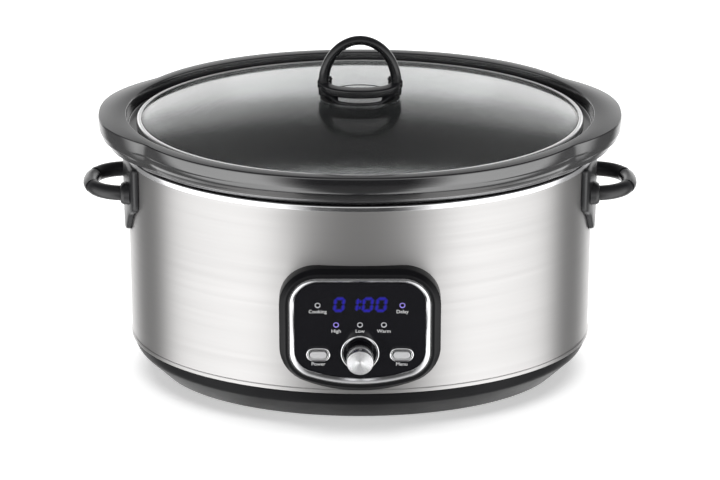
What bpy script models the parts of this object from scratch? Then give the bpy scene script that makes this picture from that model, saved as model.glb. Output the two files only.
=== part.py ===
"""Oval slow cooker: steel housing, plastic base, lift-out stoneware crock, glass lid, front panel."""

import math

import bmesh
import bpy

# ---- Driving dimensions (metres) -------------------------------------------------------------
# Every oval level is the housing wall's oval grown or shrunk, so the pieces follow its size.
WALL_X = 0.1815  # half length of the steel wall, outside
WALL_Y = 0.120  # half depth of the steel wall, outside
WALL_SKIN = 0.0008
WALL_HEIGHT = 0.1548
GAP = 0.0003  # clearance between touching pieces
OVAL_POINTS = 48

FOOT_HEIGHT = 0.002
BASE_HEIGHT = 0.0323  # ground to the top of the base skirt
SKIRT_SKIN = 0.0035  # along the level
SKIRT_TAPER = 0.020  # how far the bottom edge tucks in
SKIRT_CREASE = 0.0038
SKIRT_CREASE_Z = 0.0232
LIP_HEIGHT = 0.0077  # the skirt's lip inside the wall
LIP_SKIN = 0.002
SHELF_WIDTH = 0.0095  # the skirt's inner shelf, which the bottom cover is screwed to
SHELF_SKIN = 0.0025
RING_WIDTH = 0.0075  # the skirt's bottom edge
COVER_SKIN = 0.002

FOOT_RADIUS = 0.009
STEM_RADIUS = 0.003
FOOT_X = 0.092
FOOT_Y = 0.046
COVER_SCREW_ANGLE = math.radians(40)
COVER_SCREW_LENGTH = 0.0123
SCREW_RADIUS = 0.0016
SCREW_HEAD_RADIUS = 0.0032
SCREW_HEAD = 0.0009
BOSS_RADIUS = 0.0045
BOSS_HEIGHT = 0.0105

HEM_HEIGHT = 0.0028
HEM_PROUD = 0.0005
BEAD_SKIN = 0.001  # the liner's flange, hooked over the wall's top edge
BEAD_TOP_SKIN = 0.0013
BEAD_DROP = 0.003
LINER_GAP = 0.0122  # between the wall and the liner
LINER_SKIN = 0.001
LINER_FLOOR_Z = 0.036
LINER_CORNER = 0.020

HEATER_SKIN = 0.0015
HEATER_LOW_Z = 0.070
HEATER_HIGH_Z = 0.125
HEATER_SPLIT = 0.008

CROCK_GAP = 0.004  # crock body to liner
CROCK_SKIN = 0.007
CROCK_FLOOR_SKIN = 0.009
CROCK_AIR = 0.007  # crock bottom above the liner floor
CROCK_TAPER = 0.018
RIM_HEIGHT = 0.0287
RIM_FLARE_X = 0.0035
RIM_FLARE_Y = 0.0155
RIM_FRONT_WIDTH = 0.008
EAR_LENGTH = 0.018
EAR_HALF_WIDTH = 0.064
EAR_POWER = 3.2
LEDGE_DROP = 0.0094
LID_CLEARANCE_X = 0.008  # the rim's inner edge to the lid's edge
LID_CLEARANCE_Y = 0.0055

LID_RIM_HEIGHT = 0.0054
LID_RIM_WIDTH = 0.0035
LID_RIM_SKIN = 0.0007
GLASS_SKIN = 0.0034
BRIM_WIDTH = 0.0152
DOME_HEIGHT = 0.0155

LOOP_HALF_WIDTH = 0.0275  # the lid handle's arch, at the middle of its section
LOOP_HEIGHT = 0.035
LOOP_RADIUS = 0.0036
LOOP_SPRING_Z = 0.0107  # above the handle's foot
LEG_SWELL = 1.18  # the legs are this much thicker than the arch's top
DISH_HALF_X = 0.029
DISH_HALF_Y = 0.018
DISH_HEIGHT = 0.0038
DISH_FLOOR = 0.0024
DISH_EDGE = 0.003
BAR_RADIUS = 0.0033
BAR_REACH = 0.0147
BAR_Z = 0.0098  # above the handle's foot
PIVOT_BOSS_RADIUS = 0.0036
PIVOT_BOSS_REACH = 0.033
GASKET_SKIN = 0.001
LID_SCREW_X = 0.0258

HANDLE_DROP = 0.0284  # wall top to the middle of the side handles
HANDLE_REACH = 0.0352  # wall to the handle's tip
HANDLE_RADIUS = 0.006
ARM_Y = 0.025
LOOP_POWER = 2.3  # 2 would make the loop an ellipse, more makes it squarer
LOOP_STEPS = 18
PLATE_SKIN = 0.0038
PLATE_HALF_WIDTH = 0.041
PLATE_HEIGHT = 0.060
PLATE_WING = 0.030
TONGUE_TOP_HALF = 0.031
TONGUE_LOW_HALF = 0.020
HANDLE_SCREW_LENGTH = 0.010

# Control panel: x across, z up, and distances forward of the wall's front line.
PANEL_LOW_Z = 0.038
PANEL_HEIGHT = 0.102
PANEL_HALF_WIDTH = 0.0613
PANEL_CORNER = 0.030
PANEL_BOW = 0.110  # radius of the bowed lower edge
PANEL_PROUD = 0.0095
PANEL_SLOPE_DEPTH = 0.004
TRIM_CORNER = 0.022
TRIM_BOW = 0.121
TRIM_TOP_Z = 0.1339
TRIM_LOW_Z = 0.0451
TRIM_HALF_WIDTH = 0.0541
TRIM_WIDTH = 0.0044
FACE_SINK = 0.002  # face below the bezel's front
FACE_SKIN = 0.002
LAND_WIDTH = 0.005  # the bezel's land behind the face
BOARD_SKIN = 0.0016
BOARD_SINK = 0.0043  # board front behind the face's back
CONTROL_Z = 0.0713
KNOB_RADIUS = 0.01015
KNOB_LENGTH = 0.0116
KNOB_PROUD = 0.0186  # knob front ahead of the face
KNOB_RING_RADIUS = 0.0146
KNOB_RING_WIDTH = 0.002
KNOB_WELL_DEPTH = 0.001
SHAFT_RADIUS = 0.003
BUTTON_X = 0.0317
BUTTON_Z = 0.0701
BUTTON_HALF_LENGTH = 0.007
BUTTON_HALF_HEIGHT = 0.0035
BUTTON_PROUD = 0.003
BUTTON_RING_WALL = 0.0008
BUTTON_RING_FLANGE = 0.0021
BUTTON_TRAVEL = 0.0008
BUTTONS = {"power": -BUTTON_X, "menu": BUTTON_X}
LIGHT_RADIUS = 0.0021
UPPER_LIGHT_X = 0.032
UPPER_LIGHT_Z = 0.1106
LOWER_LIGHT_X = 0.0181
LOWER_LIGHT_Z = 0.0943
LIGHT_NAMES = ("cooking", "delay", "high", "low", "warm")
DISPLAY_Z = 0.112
DISPLAY_SIZE = (0.042, 0.014)

# Power board, standing on posts of the bottom cover.
POWER_BOARD_Z = 0.012
POWER_BOARD_X = 0.062
POWER_BOARD_HALF = (0.040, 0.025)
POST_RADIUS = 0.003
POST_INSET = 0.006  # from the board's edge to the middle of a post
BLOCKS = {  # corner from the board's middle, plan size, height
    "relay": ((-0.030, -0.018), (0.019, 0.015), 0.0145),
    "terminal_block": ((0.016, -0.015), (0.016, 0.030), 0.010),
}

BUSH_Z = 0.055
BUSH_RADIUS = 0.005
BUSH_FLANGE = 0.008
BUSH_BORE = 0.0036

# ---- Levels and planes worked out from the sizes ----------------------------------------------
WALL_LOW_Z = BASE_HEIGHT + GAP
WALL_TOP_Z = WALL_LOW_Z + WALL_HEIGHT
BEAD_TOP_Z = WALL_TOP_Z + GAP + BEAD_TOP_SKIN
CROCK_SEAT_Z = BEAD_TOP_Z + GAP
CROCK_TOP_Z = CROCK_SEAT_Z + RIM_HEIGHT
LEDGE_Z = CROCK_TOP_Z - LEDGE_DROP
CROCK_LOW_Z = LINER_FLOOR_Z + CROCK_AIR
LINER_OUTER = -(WALL_SKIN + LINER_GAP)
LINER_INNER = LINER_OUTER - LINER_SKIN
CROCK_BODY = LINER_INNER - CROCK_GAP
LID_X = WALL_X - LID_CLEARANCE_X
LID_Y = WALL_Y + RIM_FLARE_Y - RIM_FRONT_WIDTH - LID_CLEARANCE_Y
LID_LOW_Z = LEDGE_Z + GAP
GLASS_LOW_Z = LID_LOW_Z + LID_RIM_SKIN + GAP
GLASS_TOP_Z = GLASS_LOW_Z + GLASS_SKIN + DOME_HEIGHT
LOOP_FOOT_Z = GLASS_TOP_Z + GAP + GASKET_SKIN + GAP
SHELF_LOW_Z = FOOT_HEIGHT + COVER_SKIN + GAP
SHELF_TOP_Z = SHELF_LOW_Z + SHELF_SKIN
COVER_EDGE = -(SKIRT_CREASE + SKIRT_TAPER + RING_WIDTH) - GAP
SHELF_EDGE = COVER_EDGE - SHELF_WIDTH
PANEL_FRONT = WALL_Y + PANEL_PROUD
FACE_FRONT = PANEL_FRONT - FACE_SINK
FACE_BACK = FACE_FRONT - FACE_SKIN
BOARD_FRONT = FACE_BACK - BOARD_SINK
KNOB_FRONT = FACE_FRONT + KNOB_PROUD
HANDLE_Z = WALL_TOP_Z - HANDLE_DROP
# The whole cooker stands so that its box is centred on the origin, from knob front to crock rim.
CENTRE_Y = (KNOB_FRONT - (WALL_Y + RIM_FLARE_Y)) / 2

MATERIALS = {  # colour, roughness, metallic
    "base_plastic": ((0.020, 0.020, 0.022), 0.50, 0.0),
    "cover_plastic": ((0.025, 0.025, 0.025), 0.70, 0.0),
    "foot_rubber": ((0.015, 0.015, 0.015), 0.85, 0.0),
    "wall_steel": ((0.62, 0.61, 0.60), 0.32, 1.0),
    "bright_steel": ((0.85, 0.85, 0.85), 0.18, 1.0),
    "liner_metal": ((0.60, 0.61, 0.62), 0.35, 1.0),
    "screw_steel": ((0.55, 0.55, 0.56), 0.35, 1.0),
    "heater_foil": ((0.70, 0.68, 0.62), 0.40, 0.9),
    "handle_plastic": ((0.018, 0.018, 0.020), 0.45, 0.0),
    "bezel_plastic": ((0.008, 0.008, 0.009), 0.25, 0.0),
    "chrome": ((0.90, 0.90, 0.90), 0.08, 1.0),
    "face_gloss": ((0.006, 0.006, 0.008), 0.08, 0.0),
    "display": ((0.02, 0.02, 0.25), 0.20, 0.0),
    "indicator": ((0.75, 0.75, 0.80), 0.25, 0.0),
    "knob_aluminium": ((0.80, 0.80, 0.80), 0.22, 1.0),
    "board": ((0.05, 0.16, 0.08), 0.50, 0.0),
    "component": ((0.10, 0.10, 0.11), 0.50, 0.0),
    "glaze": ((0.030, 0.030, 0.032), 0.15, 0.0),
    "glass": ((0.80, 0.84, 0.84), 0.05, 0.0),
    "lid_handle_plastic": ((0.010, 0.010, 0.011), 0.18, 0.0),
}


# ---- Scene helpers -----------------------------------------------------------------------------
def clear_scene():
    for thing in list(bpy.data.objects):
        bpy.data.objects.remove(thing, do_unlink=True)


def new_collection(name):
    collection = bpy.data.collections.new(name)
    bpy.context.scene.collection.children.link(collection)
    return collection


def make_materials():
    made = {}
    for name, (colour, roughness, metallic) in MATERIALS.items():
        material = bpy.data.materials.new(name)
        material.use_nodes = True
        shader = material.node_tree.nodes["Principled BSDF"]
        shader.inputs["Base Color"].default_value = (*colour, 1.0)
        shader.inputs["Roughness"].default_value = roughness
        shader.inputs["Metallic"].default_value = metallic
        made[name] = material
    return made


clear_scene()
PARTS = new_collection("slow_cooker")
CUTTERS = new_collection("cutters")
MATERIAL = make_materials()


def empty(name, parent=None, location=(0, 0, 0), rotation=(0, 0, 0)):
    marker = bpy.data.objects.new(name, None)
    PARTS.objects.link(marker)
    marker.parent = parent
    marker.location = location
    marker.rotation_euler = rotation
    return marker


COOKER = empty("cooker", location=(0, CENTRE_Y, 0))
# In the panel's frame x runs across, y up and z forward, out of the cooker's front.
PANEL = empty("panel", COOKER, rotation=(math.pi / 2, 0, 0))
CROCK_LIFT = empty("crock_lift_axis", COOKER, (0, 0, CROCK_SEAT_Z))
LID_LIFT = empty("lid_lift_axis", CROCK_LIFT, (0, 0, LID_LOW_Z - CROCK_SEAT_Z))
KNOB_TURN = empty("knob_turn_axis", PANEL, (0, CONTROL_Z, 0))


def add(name, mesh, material, parent=COOKER, location=(0, 0, 0), rotation=(0, 0, 0)):
    """A part with its material, or a cutter when material is None."""
    piece = bpy.data.objects.new(name, mesh)
    (PARTS if material else CUTTERS).objects.link(piece)
    piece.parent = parent
    piece.location = location
    piece.rotation_euler = rotation
    if material:
        mesh.materials.append(MATERIAL[material])
        mesh.shade_smooth()
        mesh.set_sharp_from_angle(angle=math.radians(30))
    else:
        piece.hide_render = True
        piece.display_type = "WIRE"
    return piece


def mesh_from(name, bm):
    bmesh.ops.recalc_face_normals(bm, faces=bm.faces)
    mesh = bpy.data.meshes.new(name)
    bm.to_mesh(mesh)
    bm.free()
    return mesh


def boolean(piece, tool, operation):
    step = piece.modifiers.new(f"{operation.lower()} {tool.name}", "BOOLEAN")
    step.operation = operation
    step.object = tool


def cut(piece, *tools):
    for tool in tools:
        boolean(piece, tool, "DIFFERENCE")


def join(piece, *tools):
    for tool in tools:
        boolean(piece, tool, "UNION")


# ---- Shapes --------------------------------------------------------------------------------------
def loft_mesh(name, rings, capped):
    """Skin over rings of points; capped at both ends, or closed round from the last ring to the first."""
    bm = bmesh.new()
    levels = [[bm.verts.new(point) for point in ring] for ring in rings]
    count = len(levels[0])
    pairs = list(zip(levels, levels[1:]))
    if capped:
        bm.faces.new(levels[0])
        bm.faces.new(levels[-1])
    else:
        pairs.append((levels[-1], levels[0]))
    for low, high in pairs:
        for i in range(count):
            j = (i + 1) % count
            bm.faces.new((low[i], low[j], high[j], high[i]))
    return mesh_from(name, bm)


def oval(half_x, half_y, z, ear=0.0):
    """An oval level; ear draws its two ends outwards."""
    points = []
    for i in range(OVAL_POINTS):
        angle = 2 * math.pi * i / OVAL_POINTS
        x, y = half_x * math.cos(angle), half_y * math.sin(angle)
        reach = ear * max(0.0, 1 - (abs(y) / EAR_HALF_WIDTH) ** EAR_POWER)
        points.append((x + math.copysign(reach, x), y, z))
    return points


def wall_oval(grow, z, grow_y=None, ear=0.0):
    """The wall's outer oval, grown by the given amounts."""
    return oval(WALL_X + grow, WALL_Y + (grow if grow_y is None else grow_y), z, ear)


def wall_reach(y, grow=0.0):
    """Half length of the grown wall oval at a given y."""
    return (WALL_X + grow) * math.sqrt(1 - (y / (WALL_Y + grow)) ** 2)


def oval_solid(name, grow, low_z, high_z):
    return add(name, loft_mesh(name, [wall_oval(grow, low_z), wall_oval(grow, high_z)], True), None)


def lid_oval(grow, z):
    return oval(LID_X + grow, LID_Y + grow, z)


def arc(centre, radius, start, end, steps):
    turns = [math.radians(start + (end - start) * i / steps) for i in range(steps + 1)]
    return [(centre[0] + radius * math.cos(a), centre[1] + radius * math.sin(a)) for a in turns]


def bowed_outline(half_width, top, low, corner, bow, inset=0.0, steps=6):
    """Flat top, straight sides and a bowed lower edge; inset draws every side in by the same amount."""
    half_width, top, low = half_width - inset, top - inset, low + inset
    corner, bow = corner - inset, bow - inset
    side = half_width - corner
    reach = math.sqrt((bow - corner) ** 2 - side**2)
    low_centre = low + bow - reach
    turn = math.degrees(math.atan2(reach, side))
    right = arc((side, top - corner), corner, 90, 0, steps)
    right += arc((side, low_centre), corner, 0, -turn, steps)
    bottom = arc((0, low + bow), bow, -turn, -180 + turn, steps)[1:-1]
    left = [(-x, y) for x, y in reversed(right)]
    return right + bottom + left


def bezel_outline(inset=0.0):
    top = PANEL_LOW_Z + PANEL_HEIGHT
    return bowed_outline(PANEL_HALF_WIDTH, top, PANEL_LOW_Z, PANEL_CORNER, PANEL_BOW, inset)


def trim_outline(inset=0.0):
    return bowed_outline(TRIM_HALF_WIDTH, TRIM_TOP_Z, TRIM_LOW_Z, TRIM_CORNER, TRIM_BOW, inset)


def stadium(half_length, half_height, centre=(0, 0), steps=6):
    reach = half_length - half_height
    right = arc((centre[0] + reach, centre[1]), half_height, -90, 90, steps)
    left = arc((centre[0] - reach, centre[1]), half_height, 90, 270, steps)
    return right + left


def level(outline, height):
    return [(x, y, height) for x, y in outline]


def plate_mesh(name, outline, low, high):
    """A flat outline given thickness, from low to high."""
    flat = bpy.data.curves.new(name, "CURVE")
    flat.dimensions = "2D"
    flat.fill_mode = "BOTH"
    flat.extrude = (high - low) / 2
    edge = flat.splines.new("POLY")
    edge.points.add(len(outline) - 1)
    for point, (x, y) in zip(edge.points, outline):
        point.co = (x, y, 0, 1)
    edge.use_cyclic_u = True
    return mesh_of_curve(name, flat, (low + high) / 2)


def tube_mesh(name, points, radius, swell=None, sides=4):
    """A rod along points; swell scales its radius point by point."""
    path = bpy.data.curves.new(name, "CURVE")
    path.dimensions = "3D"
    path.bevel_depth = radius
    path.bevel_resolution = sides
    path.use_fill_caps = True
    spine = path.splines.new("POLY")
    spine.points.add(len(points) - 1)
    for i, (point, place) in enumerate(zip(spine.points, points)):
        point.co = (*place, 1)
        point.radius = swell[i] if swell else 1
    return mesh_of_curve(name, path, 0)


def mesh_of_curve(name, curve, lift):
    """The curve as a closed mesh, so that it can be cut and joined."""
    guide = bpy.data.objects.new(f"{name}_curve", curve)
    CUTTERS.objects.link(guide)
    bpy.context.view_layer.update()
    ready = guide.evaluated_get(bpy.context.evaluated_depsgraph_get())
    mesh = bpy.data.meshes.new_from_object(ready)
    bpy.data.objects.remove(guide, do_unlink=True)
    bm = bmesh.new()
    bm.from_mesh(mesh)
    bmesh.ops.remove_doubles(bm, verts=bm.verts, dist=1e-6)
    bmesh.ops.translate(bm, verts=bm.verts, vec=(0, 0, lift))
    bpy.data.meshes.remove(mesh)
    return mesh_from(name, bm)


def box_mesh(name, low, high):
    bm = bmesh.new()
    bmesh.ops.create_cube(bm, size=1)
    size = [b - a for a, b in zip(low, high)]
    middle = [(a + b) / 2 for a, b in zip(low, high)]
    bmesh.ops.scale(bm, verts=bm.verts, vec=size)
    bmesh.ops.translate(bm, verts=bm.verts, vec=middle)
    return mesh_from(name, bm)


def rod_mesh(name, radius, low, high, sides=20):
    """A cylinder on its own z axis, from low to high."""
    bm = bmesh.new()
    bmesh.ops.create_cone(
        bm, cap_ends=True, segments=sides, radius1=radius, radius2=radius, depth=high - low
    )
    bmesh.ops.translate(bm, verts=bm.verts, vec=(0, 0, (low + high) / 2))
    return mesh_from(name, bm)


def turned(name, profile, material, parent, location=(0, 0, 0), rotation=(0, 0, 0), ring=False, steps=24):
    """A profile of (radius, height) points, run down its outer side and turned about z."""
    mesh = bpy.data.meshes.new(name)
    edges = [(i, i + 1) for i in range(len(profile) - 1)]
    if ring:
        edges.append((len(profile) - 1, 0))
    mesh.from_pydata([(r, 0, z) for r, z in profile], edges, [])
    piece = add(name, mesh, material, parent, location, rotation)
    turn = piece.modifiers.new("turn", "SCREW")
    turn.steps = turn.render_steps = steps
    turn.use_merge_vertices = True
    turn.merge_threshold = 0.00001
    turn.use_smooth_shade = True
    return piece


def screw(name, radius, length, head_radius, head, parent, location, rotation):
    """A pan-head screw whose head rests at z = 0 of its own frame and whose shank runs up."""
    crown = head_radius * 0.75
    profile = [(0, length), (radius * 0.6, length), (radius, length - radius), (radius, 0)]
    profile += [(head_radius, 0), (head_radius, -head * 0.5), (crown, -head), (0, -head)]
    return turned(name, profile, "screw_steel", parent, location, rotation, steps=16)


# ---- Base ----------------------------------------------------------------------------------------
def four_corners(x, y):
    return [(sx * x, sy * y) for sx in (1, -1) for sy in (1, -1)]


def cover_screw_places():
    middle = (COVER_EDGE + SHELF_EDGE) / 2
    x = (WALL_X + middle) * math.cos(COVER_SCREW_ANGLE)
    y = (WALL_Y + middle) * math.sin(COVER_SCREW_ANGLE)
    return four_corners(x, y)


def base_skirt():
    edge = -(SKIRT_CREASE + SKIRT_TAPER)
    opening = COVER_EDGE + GAP
    lip = -(WALL_SKIN + GAP)
    foot_inside = edge + (SHELF_TOP_Z - FOOT_HEIGHT) - SKIRT_SKIN
    rings = [
        wall_oval(edge, FOOT_HEIGHT, edge + 0.002),
        wall_oval(-SKIRT_CREASE, SKIRT_CREASE_Z, -SKIRT_CREASE + 0.0028),
        wall_oval(0, BASE_HEIGHT),
        wall_oval(lip, BASE_HEIGHT),
        wall_oval(lip, BASE_HEIGHT + LIP_HEIGHT),
        wall_oval(lip - LIP_SKIN, BASE_HEIGHT + LIP_HEIGHT),
        wall_oval(lip - LIP_SKIN, BASE_HEIGHT - LIP_SKIN),
        wall_oval(-SKIRT_CREASE - SKIRT_SKIN, SKIRT_CREASE_Z + 0.0008),
        wall_oval(foot_inside, SHELF_TOP_Z),
        wall_oval(SHELF_EDGE, SHELF_TOP_Z),
        wall_oval(SHELF_EDGE, SHELF_LOW_Z),
        wall_oval(opening, SHELF_LOW_Z),
        wall_oval(opening, FOOT_HEIGHT),
    ]
    skirt = add("base_skirt", loft_mesh("base_skirt", rings, False), "base_plastic")
    for i, (x, y) in enumerate(cover_screw_places(), 1):
        low, high = (SHELF_LOW_Z + SHELF_TOP_Z) / 2, SHELF_TOP_Z + BOSS_HEIGHT
        boss = add(f"skirt_boss_{i}", rod_mesh("boss", BOSS_RADIUS, low, high), None, location=(x, y, 0))
        bore = rod_mesh("boss_bore", SCREW_RADIUS + GAP, 0, high - 0.001, 16)
        join(skirt, boss)
        cut(skirt, add(f"skirt_bore_{i}", bore, None, location=(x, y, 0)))


def bottom_cover():
    low, high = FOOT_HEIGHT, FOOT_HEIGHT + COVER_SKIN
    rings = [wall_oval(COVER_EDGE, low), wall_oval(COVER_EDGE, high)]
    cover = add("bottom_cover", loft_mesh("bottom_cover", rings, True), "cover_plastic")
    for i, (x, y) in enumerate(board_corners(), 1):
        post = rod_mesh("board_post", POST_RADIUS, low + COVER_SKIN / 2, POWER_BOARD_Z - GAP, 12)
        join(cover, add(f"board_post_{i}", post, None, location=(x, y, 0)))
    for i, (x, y) in enumerate(four_corners(FOOT_X, FOOT_Y), 1):
        hole = rod_mesh("stem_hole", STEM_RADIUS + GAP, 0, high + 0.001, 16)
        cut(cover, add(f"stem_hole_{i}", hole, None, location=(x, y, 0)))
    for i, (x, y) in enumerate(cover_screw_places(), 1):
        hole = rod_mesh("cover_hole", SCREW_RADIUS + GAP, 0, high + 0.001, 16)
        cut(cover, add(f"cover_hole_{i}", hole, None, location=(x, y, 0)))
    for i in range(5):
        slot = plate_mesh("vent", stadium(0.014, 0.0018, steps=4), 0, high + 0.001)
        cut(cover, add(f"vent_{i + 1}", slot, None, location=(-0.060, (i - 2) * 0.012, 0)))


def feet():
    for i, (x, y) in enumerate(four_corners(FOOT_X, FOOT_Y), 1):
        pad = FOOT_HEIGHT - GAP
        profile = [(0, 0.0055), (STEM_RADIUS, 0.0055), (STEM_RADIUS, pad), (FOOT_RADIUS, pad)]
        profile += [(FOOT_RADIUS, 0.0005), (FOOT_RADIUS - 0.0005, 0), (0, 0)]
        turned(f"foot_{i}", profile, "foot_rubber", COOKER, (x, y, 0), steps=16)


def cover_screws():
    for i, (x, y) in enumerate(cover_screw_places(), 1):
        place = (x, y, FOOT_HEIGHT - GAP)
        size = (SCREW_RADIUS, COVER_SCREW_LENGTH, SCREW_HEAD_RADIUS, SCREW_HEAD)
        screw(f"cover_screw_{i}", *size, COOKER, place, (0, 0, 0))


# ---- Housing ---------------------------------------------------------------------------------------
def housing_wall():
    rings = [
        wall_oval(-WALL_SKIN, WALL_LOW_Z),
        wall_oval(HEM_PROUD, WALL_LOW_Z),
        wall_oval(HEM_PROUD, WALL_LOW_Z + HEM_HEIGHT),
        wall_oval(0, WALL_LOW_Z + HEM_HEIGHT + HEM_PROUD),
        wall_oval(0, WALL_TOP_Z),
        wall_oval(-WALL_SKIN, WALL_TOP_Z),
    ]
    wall = add("housing_wall", loft_mesh("housing_wall", rings, False), "wall_steel")
    window = plate_mesh("panel_window", trim_outline(TRIM_WIDTH + LAND_WIDTH), WALL_Y * 0.9, PANEL_FRONT)
    cut(wall, add("panel_window", window, None, PANEL))
    hole = rod_mesh("bush_hole", BUSH_RADIUS + GAP, -0.01, 0.01)
    cut(wall, add("bush_hole", hole, None, location=(0, WALL_Y, BUSH_Z), rotation=(-math.pi / 2, 0, 0)))
    for side, tag in ((1, "right"), (-1, "left")):
        for i, y in enumerate((-ARM_Y, ARM_Y), 1):
            bore = rod_mesh("screw_hole", SCREW_RADIUS + GAP, -0.01, 0.01, 16)
            place = (side * wall_reach(y), y, HANDLE_Z)
            hole = add(f"wall_hole_{tag}_{i}", bore, None, location=place, rotation=(0, math.pi / 2, 0))
            cut(wall, hole)


def inner_liner():
    """Drawn pot whose flange hooks over the wall's top edge and shows as the bright bead."""
    under = WALL_TOP_Z + GAP
    hook_in, hook_out = GAP, GAP + BEAD_SKIN
    drop = under - BEAD_DROP
    floor = LINER_FLOOR_Z
    bottom = floor - LINER_SKIN
    corner = LINER_CORNER
    rings = [
        wall_oval(LINER_OUTER - 2 * corner, bottom),
        wall_oval(LINER_OUTER - corner, bottom),
        wall_oval(LINER_OUTER - corner * 0.35, bottom + corner * 0.22),
        wall_oval(LINER_OUTER - corner * 0.06, bottom + corner * 0.6),
        wall_oval(LINER_OUTER, bottom + corner),
        wall_oval(LINER_OUTER, under - 0.001),
        wall_oval(LINER_OUTER + 0.001, under),
        wall_oval(hook_in, under),
        wall_oval(hook_in, drop),
        wall_oval(hook_out, drop),
        wall_oval(hook_out, under - 0.0004),
        wall_oval(hook_in, BEAD_TOP_Z),
        wall_oval(LINER_INNER + 0.0015, BEAD_TOP_Z),
        wall_oval(LINER_INNER, BEAD_TOP_Z - 0.002),
        wall_oval(LINER_INNER, floor + corner),
        wall_oval(LINER_INNER - corner * 0.07, floor + corner * 0.55),
        wall_oval(LINER_INNER - corner * 0.4, floor + corner * 0.16),
        wall_oval(LINER_INNER - corner, floor),
        wall_oval(LINER_INNER - 2 * corner, floor),
    ]
    add("inner_liner", loft_mesh("inner_liner", rings, True), "liner_metal")


def heater_band():
    near, far = LINER_OUTER + GAP, LINER_OUTER + GAP + HEATER_SKIN
    levels = ((near, HEATER_LOW_Z), (far, HEATER_LOW_Z), (far, HEATER_HIGH_Z), (near, HEATER_HIGH_Z))
    rings = [wall_oval(grow, z) for grow, z in levels]
    band = add("heater_band", loft_mesh("heater_band", rings, False), "heater_foil")
    low = (-HEATER_SPLIT / 2, WALL_Y / 2, HEATER_LOW_Z - 0.01)
    high = (HEATER_SPLIT / 2, WALL_Y, HEATER_HIGH_Z + 0.01)
    cut(band, add("heater_split", box_mesh("heater_split", low, high), None))


def liner_fittings():
    """Stud, strap and nut that clamp liner, wall and base together, with the cut-out and the sensor."""
    floor = LINER_FLOOR_Z - LINER_SKIN - GAP
    stud_radius, strap_skin, strap_half = 0.003, 0.0015, 0.010
    strap_low = SHELF_TOP_Z + GAP
    nut_high = strap_low - GAP
    nut_low = SHELF_LOW_Z + GAP
    stud = rod_mesh("centre_stud", stud_radius, nut_low, floor)
    add("centre_stud", stud, "screw_steel")
    reach = WALL_Y + SHELF_EDGE + SHELF_WIDTH * 0.8
    low, high = (-strap_half, -reach, strap_low), (strap_half, reach, strap_low + strap_skin)
    strap = add("base_strap", box_mesh("base_strap", low, high), "screw_steel")
    bore = rod_mesh("strap_bore", stud_radius + GAP, 0, strap_low + 0.01)
    cut(strap, add("strap_bore", bore, None))
    nut = add("strap_nut", rod_mesh("strap_nut", 0.0058, nut_low, nut_high, 6), "screw_steel")
    nut_bore = rod_mesh("nut_bore", stud_radius + GAP, 0, nut_high + 0.01)
    cut(nut, add("nut_bore", nut_bore, None))
    cutout = [(0, 0.0057), (0.008, 0.0057), (0.008, 0.002), (0.0045, 0.002), (0.0045, 0), (0, 0)]
    turned("thermal_cutout", cutout, "component", COOKER, (-0.070, 0, floor - 0.0057))
    sensor_low = WALL_Y + LINER_OUTER + GAP
    low, high = (-0.006, sensor_low, 0.048 + LINER_CORNER / 10), (0.006, sensor_low + 0.004, 0.062)
    sensor = add("temperature_sensor", box_mesh("temperature_sensor", low, high), "component")
    edge = sensor.modifiers.new("round", "BEVEL")
    edge.width, edge.segments = 0.001, 2


def board_corners():
    x, y = [half - POST_INSET for half in POWER_BOARD_HALF]
    return [(POWER_BOARD_X + dx, dy) for dx, dy in four_corners(x, y)]


def power_electronics():
    half_x, half_y = POWER_BOARD_HALF
    top = POWER_BOARD_Z + BOARD_SKIN
    low = (POWER_BOARD_X - half_x, -half_y, POWER_BOARD_Z)
    high = (POWER_BOARD_X + half_x, half_y, top)
    add("power_board", box_mesh("power_board", low, high), "board")
    for name, ((x, y), (length, depth), height) in BLOCKS.items():
        corner = (POWER_BOARD_X + x, y, top + GAP)
        far = (corner[0] + length, y + depth, corner[2] + height)
        block = add(name, box_mesh(name, corner, far), "component")
        edge = block.modifiers.new("round", "BEVEL")
        edge.width, edge.segments = 0.0006, 2
    can = [(0, 0.016), (0.0045, 0.016), (0.005, 0.0155), (0.005, 0), (0, 0)]
    turned("capacitor", can, "component", COOKER, (POWER_BOARD_X + 0.002, 0.013, top + GAP), steps=20)


def cord_bush():
    """Bush for the mains lead in the rear of the wall."""
    skin = 0.0016
    profile = [(BUSH_BORE, skin + GAP), (BUSH_FLANGE - 0.0006, skin + GAP), (BUSH_FLANGE, skin - 0.0004)]
    profile += [(BUSH_FLANGE, GAP), (BUSH_RADIUS, GAP), (BUSH_RADIUS, -0.006), (BUSH_BORE, -0.006)]
    turned("cord_bush", profile, "base_plastic", COOKER, (0, WALL_Y, BUSH_Z), (-math.pi / 2, 0, 0), True)


# ---- Side handles ------------------------------------------------------------------------------------
def plate_outline():
    """Shield: a wide wing over a narrowing tongue, (y, z) about the handle's height."""
    top = WALL_TOP_Z - BEAD_DROP - HANDLE_Z
    low = top - PLATE_HEIGHT
    wing = top - PLATE_WING
    half = [(PLATE_HALF_WIDTH, top), (PLATE_HALF_WIDTH, wing)]
    half += [(PLATE_HALF_WIDTH - 0.003, wing - 0.005), (TONGUE_TOP_HALF, wing - 0.008)]
    half += [(TONGUE_LOW_HALF, low + 0.004), (TONGUE_LOW_HALF - 0.005, low)]
    return half + [(-y, z) for y, z in reversed(half)]


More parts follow.
